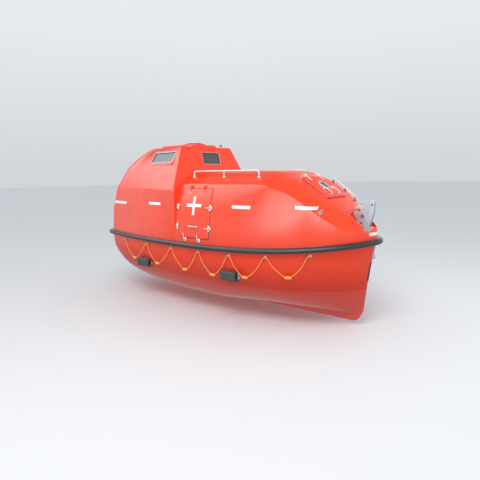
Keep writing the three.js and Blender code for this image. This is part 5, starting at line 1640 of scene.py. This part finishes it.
class LIFEBOAT_OT_lifting_hooks(bpy.types.Operator):
    """Builds the two lifting hooks with their cheek plates, pins and bolts"""

    bl_idname = "lifeboat.lifting_hooks"
    bl_label = "Lifting hooks"

    def execute(self, context):
        for name, body, way, lift in (("bow", "fore_lifting_hook", 1, 0),
                                      ("stern", "aft_lifting_hook", -1, 42)):
            reach = [0, 0, 4, 26, 40, 14, 12, 16, 30, 16, 20, 10]
            cheek = rounded(ends_turned(CHEEK, way, lift), reach[::way], 5, ring=True)
            foot = HOOK_FOOT + lift
            x0, x1 = sorted((way * 2560, way * 2868))
            nose0, nose1 = sorted((way * 2770, way * 2868))
            parts = [
                side_prism(cheek, 17, 29, 2.5), side_prism(cheek, -29, -17, 2.5),
                box(x0, x1, -70, 70, foot, foot + 14, 2.5),
                box(nose0, nose1, -14, 14, foot + 10, foot + 60, 3),
            ]
            piece(f"{name}_hook_cheeks", joined(*parts), "galvanised",
                  stands_for=[f"{name}_hook_frame"])
            across = at(way * HOOK_X, 0, HOOK_Z + lift, math.pi / 2)
            pin = placed(joined(
                turned([(0, -40), (10, -40), (11.6, -38), (11.6, 38), (10, 40), (0, 40)], 28),
                turned([(24, 29.4), (24, 36), (21, 39), (11, 39)], 28),
                turned([(24, -29.4), (24, -36), (21, -39), (11, -39)], 28)), across)
            bolts = [pin]
            for x, z in ((2604, 1570), (2673, 1591), (2836, 1880), (2600, 1520), (2690, 1520)):
                bolts += [
                    placed(bolt_part(12, 9), at(way * x, side * 29, z + lift, -side * math.pi / 2))
                    for side in (1, -1)]
            bolts += [
                placed(bolt_part(8, 8), at(way * x, y, foot + 14))
                for x in (2585, 2680, 2840) for y in (-54, 54)]
            piece(f"{name}_hook_bolts", joined(*bolts), "dull_steel")
            lobe = rounded(ends_turned(LOBE, way, lift), 22, 5, ring=True)
            slot_at = (way * 2625, 1790 + lift)
            mouth = ends_turned([(2560, 1802), (2625, 1802), (2625, 1774), (2530, 1774),
                                 (2500, 1802)], way, lift)
            jaw = shaped(side_prism(lobe, -12, 12, 3), removed=[
                cross_rod(*slot_at, 20, 30, 40), side_prism(mouth, -20, 20),
                cross_rod(way * HOOK_X, HOOK_Z + lift, 50, 12.2, 32)])
            piece(f"{name}_hook_jaw", jaw, "galvanised", body, stands_for=[f"{name}_hook"])
        return {"FINISHED"}


WIDEST_R, BLADE_HALF, PITCH = 112, 62, 76.6     # of a propeller blade; pitch over a radian


def foil(part):
    """Half the thickness of a rudder blade at a part of its chord, as a share of its fullest."""
    return max(0.08, 2.6 * math.sqrt(part) * (1 - part) ** 0.9 / 1.28) if 0 < part < 1 else 0.08


class LIFEBOAT_OT_stern_gear(bpy.types.Operator):
    """Builds the rudder and the propeller"""

    bl_idname = "lifeboat.stern_gear"
    bl_label = "Rudder and propeller"

    def execute(self, context):
        chord = (1 - np.cos(np.linspace(0, math.pi, 15))) / 2
        rings = []
        for up, full in [(0, 0.45), (0.008, 0.75), (0.03, 0.95), (0.08, 1), (0.5, 1), (0.92, 1),
                         (0.97, 0.95), (0.992, 0.75), (1, 0.45)]:
            lead = np.array([-2530 - 15 * up, 160 + 380 * up])
            trail = np.array([-2850 + 50 * up, 160 + 400 * up])
            line = [lead + (trail - lead) * c for c in chord]
            near = [(p[0], 18 * foil(c) * full, p[1]) for p, c in zip(line, chord)]
            far = [(x, -y, z) for x, y, z in near[-2:0:-1]]
            rings.append(near + far)
        stock = joined(
            turned([(0, 540), (30, 541), (31, 546), (31, 560), (28, 566), (23, 568), (23, 632),
                    (0, 632)], 32),
            turned([(0, 96), (12, 96), (14, 98), (14, 150), (22, 154), (22, 168), (0, 170)], 28))
        rudder = joined(loft(rings), placed(stock, at(RUDDER_X, 0, 0)))
        piece("rudder_foil", rudder, "lid_gelcoat", "rudder_blade", stands_for=["rudder"])

        hub = placed(turned([
            (0, -95), (15, -94), (22, -86), (24, -70), (24, -57), (36, -56), (40, -50), (42, -38),
            (42, 50), (38, 60), (25, 61), (25, 200), (0, 200)], 40),
            at(PROP_X, 0, PROP_Z, 0, math.pi / 2, 0))
        blades = []
        for number in range(3):
            rings = []
            for r in (*np.linspace(30, 170, 12), 180, 187, 191.5, 193.6):
                round_tip = max(1 - ((r - WIDEST_R) / 82) ** 2, 0.002)
                half = BLADE_HALF * math.sqrt(round_tip) if r > 50 else 40.7
                pitch = math.atan(PITCH / max(r, 40))
                thick = 11 * (1 - r / 215) + 1.2
                across = np.array([-math.sin(pitch), math.cos(pitch), 0])
                out = np.array([math.cos(pitch), math.sin(pitch), 0])
                oval = circle(1, 20) * (half, thick / 2)
                rings.append(np.array([0, 0, r]) + oval @ np.array([across, out]))
            turn = at(PROP_X, 0, PROP_Z, number * 2 * math.pi / 3)
            blades.append(placed(loft(rings), turn))
        piece("propeller_blades", joined(hub, *blades), "bronze", "screw",
              stands_for=["propeller"], sharp=50)
        return {"FINISHED"}


HANDRAIL_X, HANDRAIL_Y, HANDRAIL_TOP = (-215, 490, 1232), 720, 2420
FOREDECK_POSTS = [(1900, 560), (2110, 590), (2330, 500)]


def rail_foot(x, y, radius):
    """A round flange on the canopy's top with its screws."""
    slope = at(x, y, deck_z(x, y))
    disc = turned([(radius, -14), (radius, 4), (radius - 2, 7), (14, 10), (12, 22), (0, 22)], 32)
    screws = [
        placed(screw_part(4), at((radius - 7) * math.cos(a), (radius - 7) * math.sin(a), 6.5))
        for a in (0.5, 2.6, 4.7)]
    return placed(disc, slope), placed(joined(*screws), slope)


class LIFEBOAT_OT_rails(bpy.types.Operator):
    """Builds the handrails on the canopy and the foredeck rail"""

    bl_idname = "lifeboat.rails"
    bl_label = "Rails"

    def execute(self, context):
        for name, side in SIDES:
            y = HANDRAIL_Y * side
            feet = [(x, y, deck_z(x, y) - 4) for x in HANDRAIL_X]
            tops = [(x, y, HANDRAIL_TOP) for x in HANDRAIL_X]
            hoop_bar = bent([feet[0], tops[0], tops[2], feet[2]], 13, 46, 20)
            discs, screws = zip(*[rail_foot(x, y, 26) for x in HANDRAIL_X])
            piece(f"handrail_bar_{name}", joined(hoop_bar, rod(feet[1], tops[1], 8), *discs),
                  "white_paint", stands_for=[f"handrail_{name}"])
            piece(f"handrail_screws_{name}", joined(*screws), "stainless")
        spots = [(x, y, deck_z(x, y)) for x, y in FOREDECK_POSTS]
        line = np.array(spots) + (0, 0, 60)
        ends = [line[0] + (line[0] - line[1]) * 0.06, line[-1] + (line[-1] - line[-2]) * 0.06]
        rail = bar(rounded([ends[0], line[1], ends[1]], [0, 90, 0], 8), 14, 20)
        posts = [rod((x, y, z - 20), (x, y, z + 58), 8.5) for x, y, z in spots]
        feet_parts = [
            placed(turned([(20, -12), (20, 5), (17, 8), (0, 8)], 28), at(*spot)) for spot in spots]
        piece("foredeck_rail_bar", rail, "white_paint", stands_for=["foredeck_rail"], sharp=50)
        piece("foredeck_rail_posts", joined(*posts, *feet_parts), "black_plastic")
        return {"FINISHED"}


BLOCK_LENGTH, BLOCK_HEIGHT, BLOCK_REACH, BLOCK_WALL = 322.0, 160.0, 112.0, 34.0
BLOCK_ROOT = -900       # y inside the hull, which cuts the blocks and brackets off
BLOCK_PLACES = (("aft", -1345, 592), ("fore", 912, 646))


class LIFEBOAT_OT_block_fenders(bpy.types.Operator):
    """Builds the hollow rubber blocks on the hull's sides with their brackets"""

    bl_idname = "lifeboat.block_fenders"
    bl_label = "Block fenders"

    def execute(self, context):
        def end_view(y0, y1, z0, z1, reach, steps):
            return rounded([(y0, z0), (y1, z0), (y1, z1), (y0, z1)], reach, steps, ring=True)

        half, hull = BLOCK_LENGTH / 2, hull_form(-SEAT, -SEAT, SEAT)
        for place, x, low in BLOCK_PLACES:
            high, middle = low + BLOCK_HEIGHT, low + BLOCK_HEIGHT / 2
            face = -(hull_y(x, middle) + BLOCK_REACH)
            inner = face + BLOCK_WALL
            outline = end_view(face, BLOCK_ROOT, low, high, [26, 0, 0, 26], 6)
            bore = end_view(inner, inner + 55, low + BLOCK_WALL, high - BLOCK_WALL, 20, 6)
            body = shaped(
                upright_plate(outline, x - half, x + half, 5),
                removed=[upright_plate(bore, x - 300, x + 300), hull])
            tab = end_view(inner + 50, BLOCK_ROOT, middle - 55, middle + 55, [16, 0, 0, 16], 5)
            plates, bolts = [], []
            for end in (-1, 1):
                near, far = sorted((x + end * (half + 0.5), x + end * (half + 11)))
                plates.append(upright_plate(tab, near, far, 1.5))
                bolts += [
                    placed(bolt_part(9, 7),
                           at(x + end * (half + 11), inner + 72, middle + dz, 0, end * math.pi / 2))
                    for dz in (-32, 32)]
            bracket = shaped(joined(*plates), removed=[hull])
            for name, side in SIDES:
                for label, shape, finish_name in (
                        ("rubber", body, "block_rubber"), ("bracket", bracket, "galvanised")):
                    copy = bpy.data.objects.new(label, shape.data.copy())
                    context.scene.collection.objects.link(copy)
                    if side > 0:
                        copy.data.transform(Matrix.Scale(-1, 4, (0, 1, 0)))
                        copy.data.flip_normals()
                    stands = [f"block_fender_{place}_{name}"] if label == "rubber" else ()
                    piece(f"block_{label}_{place}_{name}", copy, finish_name, stands_for=stands)
                heads = joined(*bolts)
                piece(f"block_bolts_{place}_{name}", on_side(heads, side), "stainless")
            bpy.data.objects.remove(body)
            bpy.data.objects.remove(bracket)
        return {"FINISHED"}


CLEAT_PLACE, CLEAT_LIE = (2346, -733, 1776), (0.42, 0.78, 0.46)
LAMP_PLACE, VENT_PLACE = (-620, 480), (-531, -539, 2836)


class LIFEBOAT_OT_small_fittings(bpy.types.Operator):
    """Builds the cleats, the roof lamp and the vent on the wheelhouse's front"""

    bl_idname = "lifeboat.small_fittings"
    bl_label = "Small fittings"

    def execute(self, context):
        line = [(-62, 38), (-50, 35), (-25, 33), (0, 33), (25, 33), (50, 35), (62, 38)]
        taper = (0.5, 0.85, 1, 1, 1, 0.85, 0.5)
        horns = bar([(x, 0, z) for x, z in line], 10, 16, wave=lambda i, a: np.full(16, taper[i]))
        lie = Vector(CLEAT_LIE).to_track_quat("X", "Z").to_matrix().to_4x4()
        cleat = placed(joined(horns, box(-34, 34, -9, 9, -20, 28, 5)),
                       Matrix.Translation(CLEAT_PLACE) @ lie)
        for name, side in SIDES:
            piece(f"bow_cleat_{name}", on_side(cleat, side), "cast_alloy",
                  stands_for=[f"cleat_bow_{name}"], sharp=50)
        base = turned([(31, 2850), (31, 2896), (29, 2902), (26, 2908), (26, 2911), (0, 2911)], 36)
        lens = turned([(25, 2911.2), (25, 2916), (23, 2934), (19, 2950), (13, 2958), (6, 2960.5),
                       (0, 2961)], 36)
        piece("roof_lamp_lens", placed(lens, at(*LAMP_PLACE, 0)), "lamp_lens",
              stands_for=["roof_lamp"])
        piece("roof_lamp_base", placed(base, at(*LAMP_PLACE, 0)), "lamp_base")
        vent = turned([(16, -4), (16, 5), (13, 8), (6, 9), (0, 9)], 28)
        out_of_front = at(*VENT_PLACE, 0, -FRONT_LEAN, 0) @ at(0, 0, 0, 0, math.pi / 2)
        piece("front_vent", placed(vent, out_of_front), "black_plastic")
        return {"FINISHED"}


def cushion(half, deep, crown, frame):
    """A stuffed cushion with a crowned face, drawn-in sides and piping round its edges."""
    def place(x, y, z):
        full = max(0.0, 1 - (x / half[0]) ** 2) * max(0.0, 1 - (y / half[1]) ** 2)
        pull = 1 - 0.02 * (1 - (2 * z / deep) ** 2)
        return x * pull, y * pull, z + (crown * full if z > 0 else 0)
    low, high = -deep / 2, deep / 2
    levels = [(12, high), (6, high - 2), (2, high - 6), (0, high - 12), (1, 0), (0, low + 12),
              (2, low + 6), (8, low + 1), (12, low)]
    body = panel(half, 42, levels, mapped=place)
    pipes = [bar(ring_of(half, 42, 3, z), 4, 8, closed=True) for z in (high - 5, low + 7)]
    return placed(joined(body, *pipes), frame)


class LIFEBOAT_OT_cabin(bpy.types.Operator):
    """Builds the steering wheel and the helm seat, and finishes the inside's own parts"""

    bl_idname = "lifeboat.cabin"
    bl_label = "Cabin"

    def execute(self, context):
        hub = at(-850, 0, 1700, 0, math.pi / 2, 0)
        ring = level_ring(circle(150, 56), 0)
        parts = [bar(ring, 11.5, 14, closed=True, wave=lambda i, a: 1 - 0.05 * np.cos(8 * a))]
        parts += [
            bar([(0, 0, 4), (70 * math.cos(a), 70 * math.sin(a), 6),
                 (148 * math.cos(a), 148 * math.sin(a), 0)], 8, 12) for a in np.arange(3) * 2.0944]
        parts.append(turned([(0, -10), (30, -9), (34, -4), (34, 8), (28, 14), (16, 16), (16, 69.4),
                             (0, 69.4)], 32))
        piece("helm_wheel", placed(joined(*parts), hub), "black_plastic",
              stands_for=["steering_wheel"], sharp=50)
        post = turned([(90, 1020.5), (90, 1028), (60, 1034), (45, 1040), (45, 1352), (90, 1356),
                       (90, 1358), (0, 1358)], 36)
        piece("helm_seat_post", placed(post, at(-1210, 0, 0)), "black_plastic")
        seat = cushion((205, 214), 74, 14, at(-1218, 0, 1396))
        seat = piece("helm_seat_cushion", seat, "cushion", stands_for=["helm_seat"], sharp=60)
        back = cushion((222, 212), 58, 12, at(-1396, 0, 1668, 0, math.pi / 2, 0))
        back = piece("helm_seat_back", back, "cushion", sharp=60)
        for name, finish_name in NODE_FINISHES.items():
            for held in bpy.data.objects[name].material_slots:
                held.material = FINISHES[finish_name]
        return {"FINISHED"}


# x from and to, height of the middle and its fall, of the tapes on each side of the canopy
SIDE_TAPES = [
    (-2592, -2098, 1800, 0), (-1193, -791, 1834, 0), (935, 1291, 1846, 0), (2020, 2290, 1868, -16)]
BOW_TAPE = (4, 168, 1442)       # distances from the middle, and height, of the tapes round the bow
TAPE_GAP, TAPE_FACE = 0.0002, 0.0022    # metres out of the canopy
TAPE_ROWS = 4                   # on each side of a tape's middle line


def tape_on(tree, starts, way, half):
    """A tape of one width laid on the canopy, where rays from its middle line's starts meet it."""
    way = Vector(way)

    def meet(start, up):
        hit, normal, _, _ = tree.ray_cast(Vector((start[0], start[1], start[2] + up)) * 0.001, way)
        if hit is None:
            raise RuntimeError("a tape misses the canopy")
        return hit, normal if normal.dot(way) < 0 else -normal

    rings = []
    for start in starts:
        heights = [0.0]
        for _ in range(TAPE_ROWS):
            for end, turn in ((0, -1), (len(heights), 1)):
                edge = heights[-1 if end else 0]
                lean = math.sqrt(1 - meet(start, edge)[1].z ** 2)
                heights.insert(len(heights) if end else 0, edge + turn * half / TAPE_ROWS * lean)
        outer, inner = [], []
        for up in heights:
            hit, normal = meet(start, up)
            for row, out in ((outer, TAPE_FACE), (inner, TAPE_GAP)):
                row.append(np.array(hit + normal * out) * 1000 + (0, 0, DRAUGHT))
        rings.append(outer + inner[::-1])
    return loft(rings)


class LIFEBOAT_OT_markings(bpy.types.Operator):
    """Lays the reflective tapes on the canopy and the crosses on the doors"""

    bl_idname = "lifeboat.markings"
    bl_label = "Tapes and crosses"

    def execute(self, context):
        wide = context.scene.lifeboat_sizes.tape * 500
        mesh = bpy.data.objects["canopy_shell"].data
        tree = BVHTree.FromPolygons(
            [v.co for v in mesh.vertices], [p.vertices for p in mesh.polygons])

        parts = []
        for side in (1, -1):
            for x0, x1, z, fall in SIDE_TAPES:
                starts = [(x, side * 2500, z - DRAUGHT + fall * (x - x0) / (x1 - x0))
                          for x in np.linspace(x0, x1, round((x1 - x0) / 12))]
                parts.append(tape_on(tree, starts, (0, -side, 0), wide))
            near, far, z = BOW_TAPE
            starts = [(4000, side * y, z - DRAUGHT) for y in np.linspace(near, far, 24)]
            parts.append(tape_on(tree, starts, (-1, 0, 0), wide * 0.9))
        piece("reflective_tapes", joined(*parts), "reflective_tape", sharp=50)
        for name, side in SIDES:
            wall = on_door_wall(side)
            levels = [(0.5, DOOR_OUT + 1.4), (0, DOOR_OUT + 1.2), (0, DOOR_OUT + 0.3)]
            arms = [
                panel(half, 1.5, levels, middle, wall)
                for half, middle in (((wide, 157), (95, 1830)), ((75, wide), (-6, 1838)),
                                     ((74, wide), (195, 1838)))]
            piece(f"door_cross_{name}", joined(*arms), "reflective_tape", f"side_door_{name}",
                  sharp=50)
        return {"FINISHED"}


# ---- Stage ----


def plain_material(name, tint, rough, see_through=0.0):
    """A plain material for the stage."""
    material = bpy.data.materials.new(name)
    material.use_nodes = True
    tree = material.node_tree
    shader = tree.nodes["Principled BSDF"]
    base = mix(tree, noise(tree, 0.4, 3), (*tint, 1), tuple(t * 0.985 for t in tint) + (1,))
    tree.links.new(base, shader.inputs["Base Color"])
    shader.inputs["Roughness"].default_value = rough
    shader.inputs["Alpha"].default_value = 1 - see_through
    return material


def studio_sky():
    """A pale surround whose reflections are bright abaft the beam and low on the beam."""
    world = bpy.data.worlds.new("studio")
    world.use_nodes = True
    tree = world.node_tree
    way = node(tree, "TexCoord").outputs["Generated"]
    height = node(tree, "SeparateXYZ", {0: way}).outputs["Z"]

    def glow(aim, wide, narrow):
        near = node(tree, "VectorMath", {0: way, 1: Vector(aim).normalized()},
                    operation="DOT_PRODUCT").outputs["Value"]
        return ranged(tree, near, wide, narrow, 0.0, 2.6, "SMOOTHSTEP")

    abaft = glow((-0.7, -0.38, 0.6), 0.86, 0.985)
    abeam = times(tree, glow((0.3, -0.93, 0.2), 0.6, 0.97),
                 ranged(tree, height, -0.08, 0.05, 0.0, 1.4))
    path = node(tree, "LightPath").outputs
    diffuse = ranged(tree, height, -0.5, 0.5, 0.82, 0.9)
    near_sea = times(tree, ranged(tree, height, -0.25, 0.05, 0.35, 1.0),
                    ranged(tree, height, 0.05, 0.55, 1.0, 0.2))
    glossy = plus(tree, near_sea, plus(tree, abaft, abeam))
    seen = plus(tree, times(tree, path["Is Glossy Ray"], glossy),
                times(tree, sums(tree, "SUBTRACT", 1.0, path["Is Glossy Ray"]), diffuse))
    backdrop = ranged(tree, height, 0.0, 0.3, 0.69, 0.86)
    camera = path["Is Camera Ray"]
    strength = plus(tree, times(tree, camera, backdrop),
                    times(tree, sums(tree, "SUBTRACT", 1.0, camera), seen))
    background = tree.nodes["Background"]
    background.inputs["Color"].default_value = (0.94, 0.965, 1.0, 1)
    tree.links.new(strength, background.inputs["Strength"])
    return world


def light(name, place, aim, size, power, tint):
    """A soft area light."""
    data = bpy.data.lights.new(name, "AREA")
    data.shape, data.size, data.size_y, data.energy, data.color = "RECTANGLE", *size, power, tint
    lamp = bpy.data.objects.new(name, data)
    lamp.location = place
    lamp.rotation_euler = (Vector(aim) - Vector(place)).to_track_quat("-Z", "Y").to_euler()
    lamp.visible_glossy = False
    bpy.context.scene.collection.objects.link(lamp)


class LIFEBOAT_OT_stage(bpy.types.Operator):
    """Sets out the floor at the waterline, the ground below it and the soft light"""

    bl_idname = "lifeboat.stage"
    bl_label = "Stage"

    def execute(self, context):
        for name, height, radius, tint, see_through in (
                ("floor_waterline", 0.0, 60.0, (0.84, 0.88, 0.92), 0.97),
                ("floor_ground", -0.62, 90.0, (0.68, 0.7, 0.72), 0.0)):
            mesh = bpy.data.meshes.new(name)
            mesh.from_pydata(level_ring(circle(radius, 64), height).tolist(), [], [range(64)])
            floor = bpy.data.objects.new(name, mesh)
            mesh.materials.append(plain_material(name, tint, 0.6, see_through))
            context.scene.collection.objects.link(floor)
            floor.visible_glossy = floor.visible_diffuse = floor.visible_shadow = False
        context.scene.view_settings.view_transform = "Standard"
        context.scene.world = studio_sky()
        light("key", (3.5, -6.5, 8.5), (0, 0, 0.8), (5, 5), 560, (1, 0.98, 0.95))
        light("fill", (7.5, 2.5, 5.0), (0, 0, 1.0), (4, 4), 120, (0.95, 0.97, 1))
        return {"FINISHED"}


class LIFEBOAT_OT_finishes(bpy.types.Operator):
    """Makes the shared effects and every finish"""

    bl_idname = "lifeboat.finishes"
    bl_label = "Finishes"

    def execute(self, context):
        build_effects()
        build_finishes(context.scene.lifeboat_colours)
        return {"FINISHED"}


OPERATORS = (
    LIFEBOAT_OT_camera, LIFEBOAT_OT_finishes, LIFEBOAT_OT_grab_lines, LIFEBOAT_OT_hull,
    LIFEBOAT_OT_canopy, LIFEBOAT_OT_fender, LIFEBOAT_OT_doors, LIFEBOAT_OT_hatches,
    LIFEBOAT_OT_windows, LIFEBOAT_OT_lifting_hooks, LIFEBOAT_OT_stern_gear, LIFEBOAT_OT_rails,
    LIFEBOAT_OT_block_fenders, LIFEBOAT_OT_small_fittings, LIFEBOAT_OT_cabin,
    LIFEBOAT_OT_markings, LIFEBOAT_OT_stage,
)


class LIFEBOAT_PT_main(bpy.types.Panel):
    """Lists the boat's sizes, its colours and the steps that build it"""

    bl_label = "Lifeboat"
    bl_idname = "LIFEBOAT_PT_main"
    bl_space_type = "VIEW_3D"
    bl_region_type = "UI"
    bl_category = "Lifeboat"

    def draw(self, context):
        for group in (context.scene.lifeboat_sizes, context.scene.lifeboat_colours):
            column = self.layout.column(align=True)
            for name in group.__annotations__:
                column.prop(group, name)
        column = self.layout.column(align=True)
        for operator in OPERATORS:
            column.operator(operator.bl_idname)


CLASSES = (LifeboatSizes, LifeboatColours, *OPERATORS, LIFEBOAT_PT_main)


def register():
    for entry in CLASSES:
        bpy.utils.register_class(entry)
    bpy.types.Scene.lifeboat_sizes = PointerProperty(type=LifeboatSizes)
    bpy.types.Scene.lifeboat_colours = PointerProperty(type=LifeboatColours)


def unregister():
    del bpy.types.Scene.lifeboat_colours
    del bpy.types.Scene.lifeboat_sizes
    for entry in reversed(CLASSES):
        bpy.utils.unregister_class(entry)


def main():
    register()
    for operator in OPERATORS:
        getattr(bpy.ops.lifeboat, operator.bl_idname.split(".")[1])()


if __name__ == "__main__":
    main()
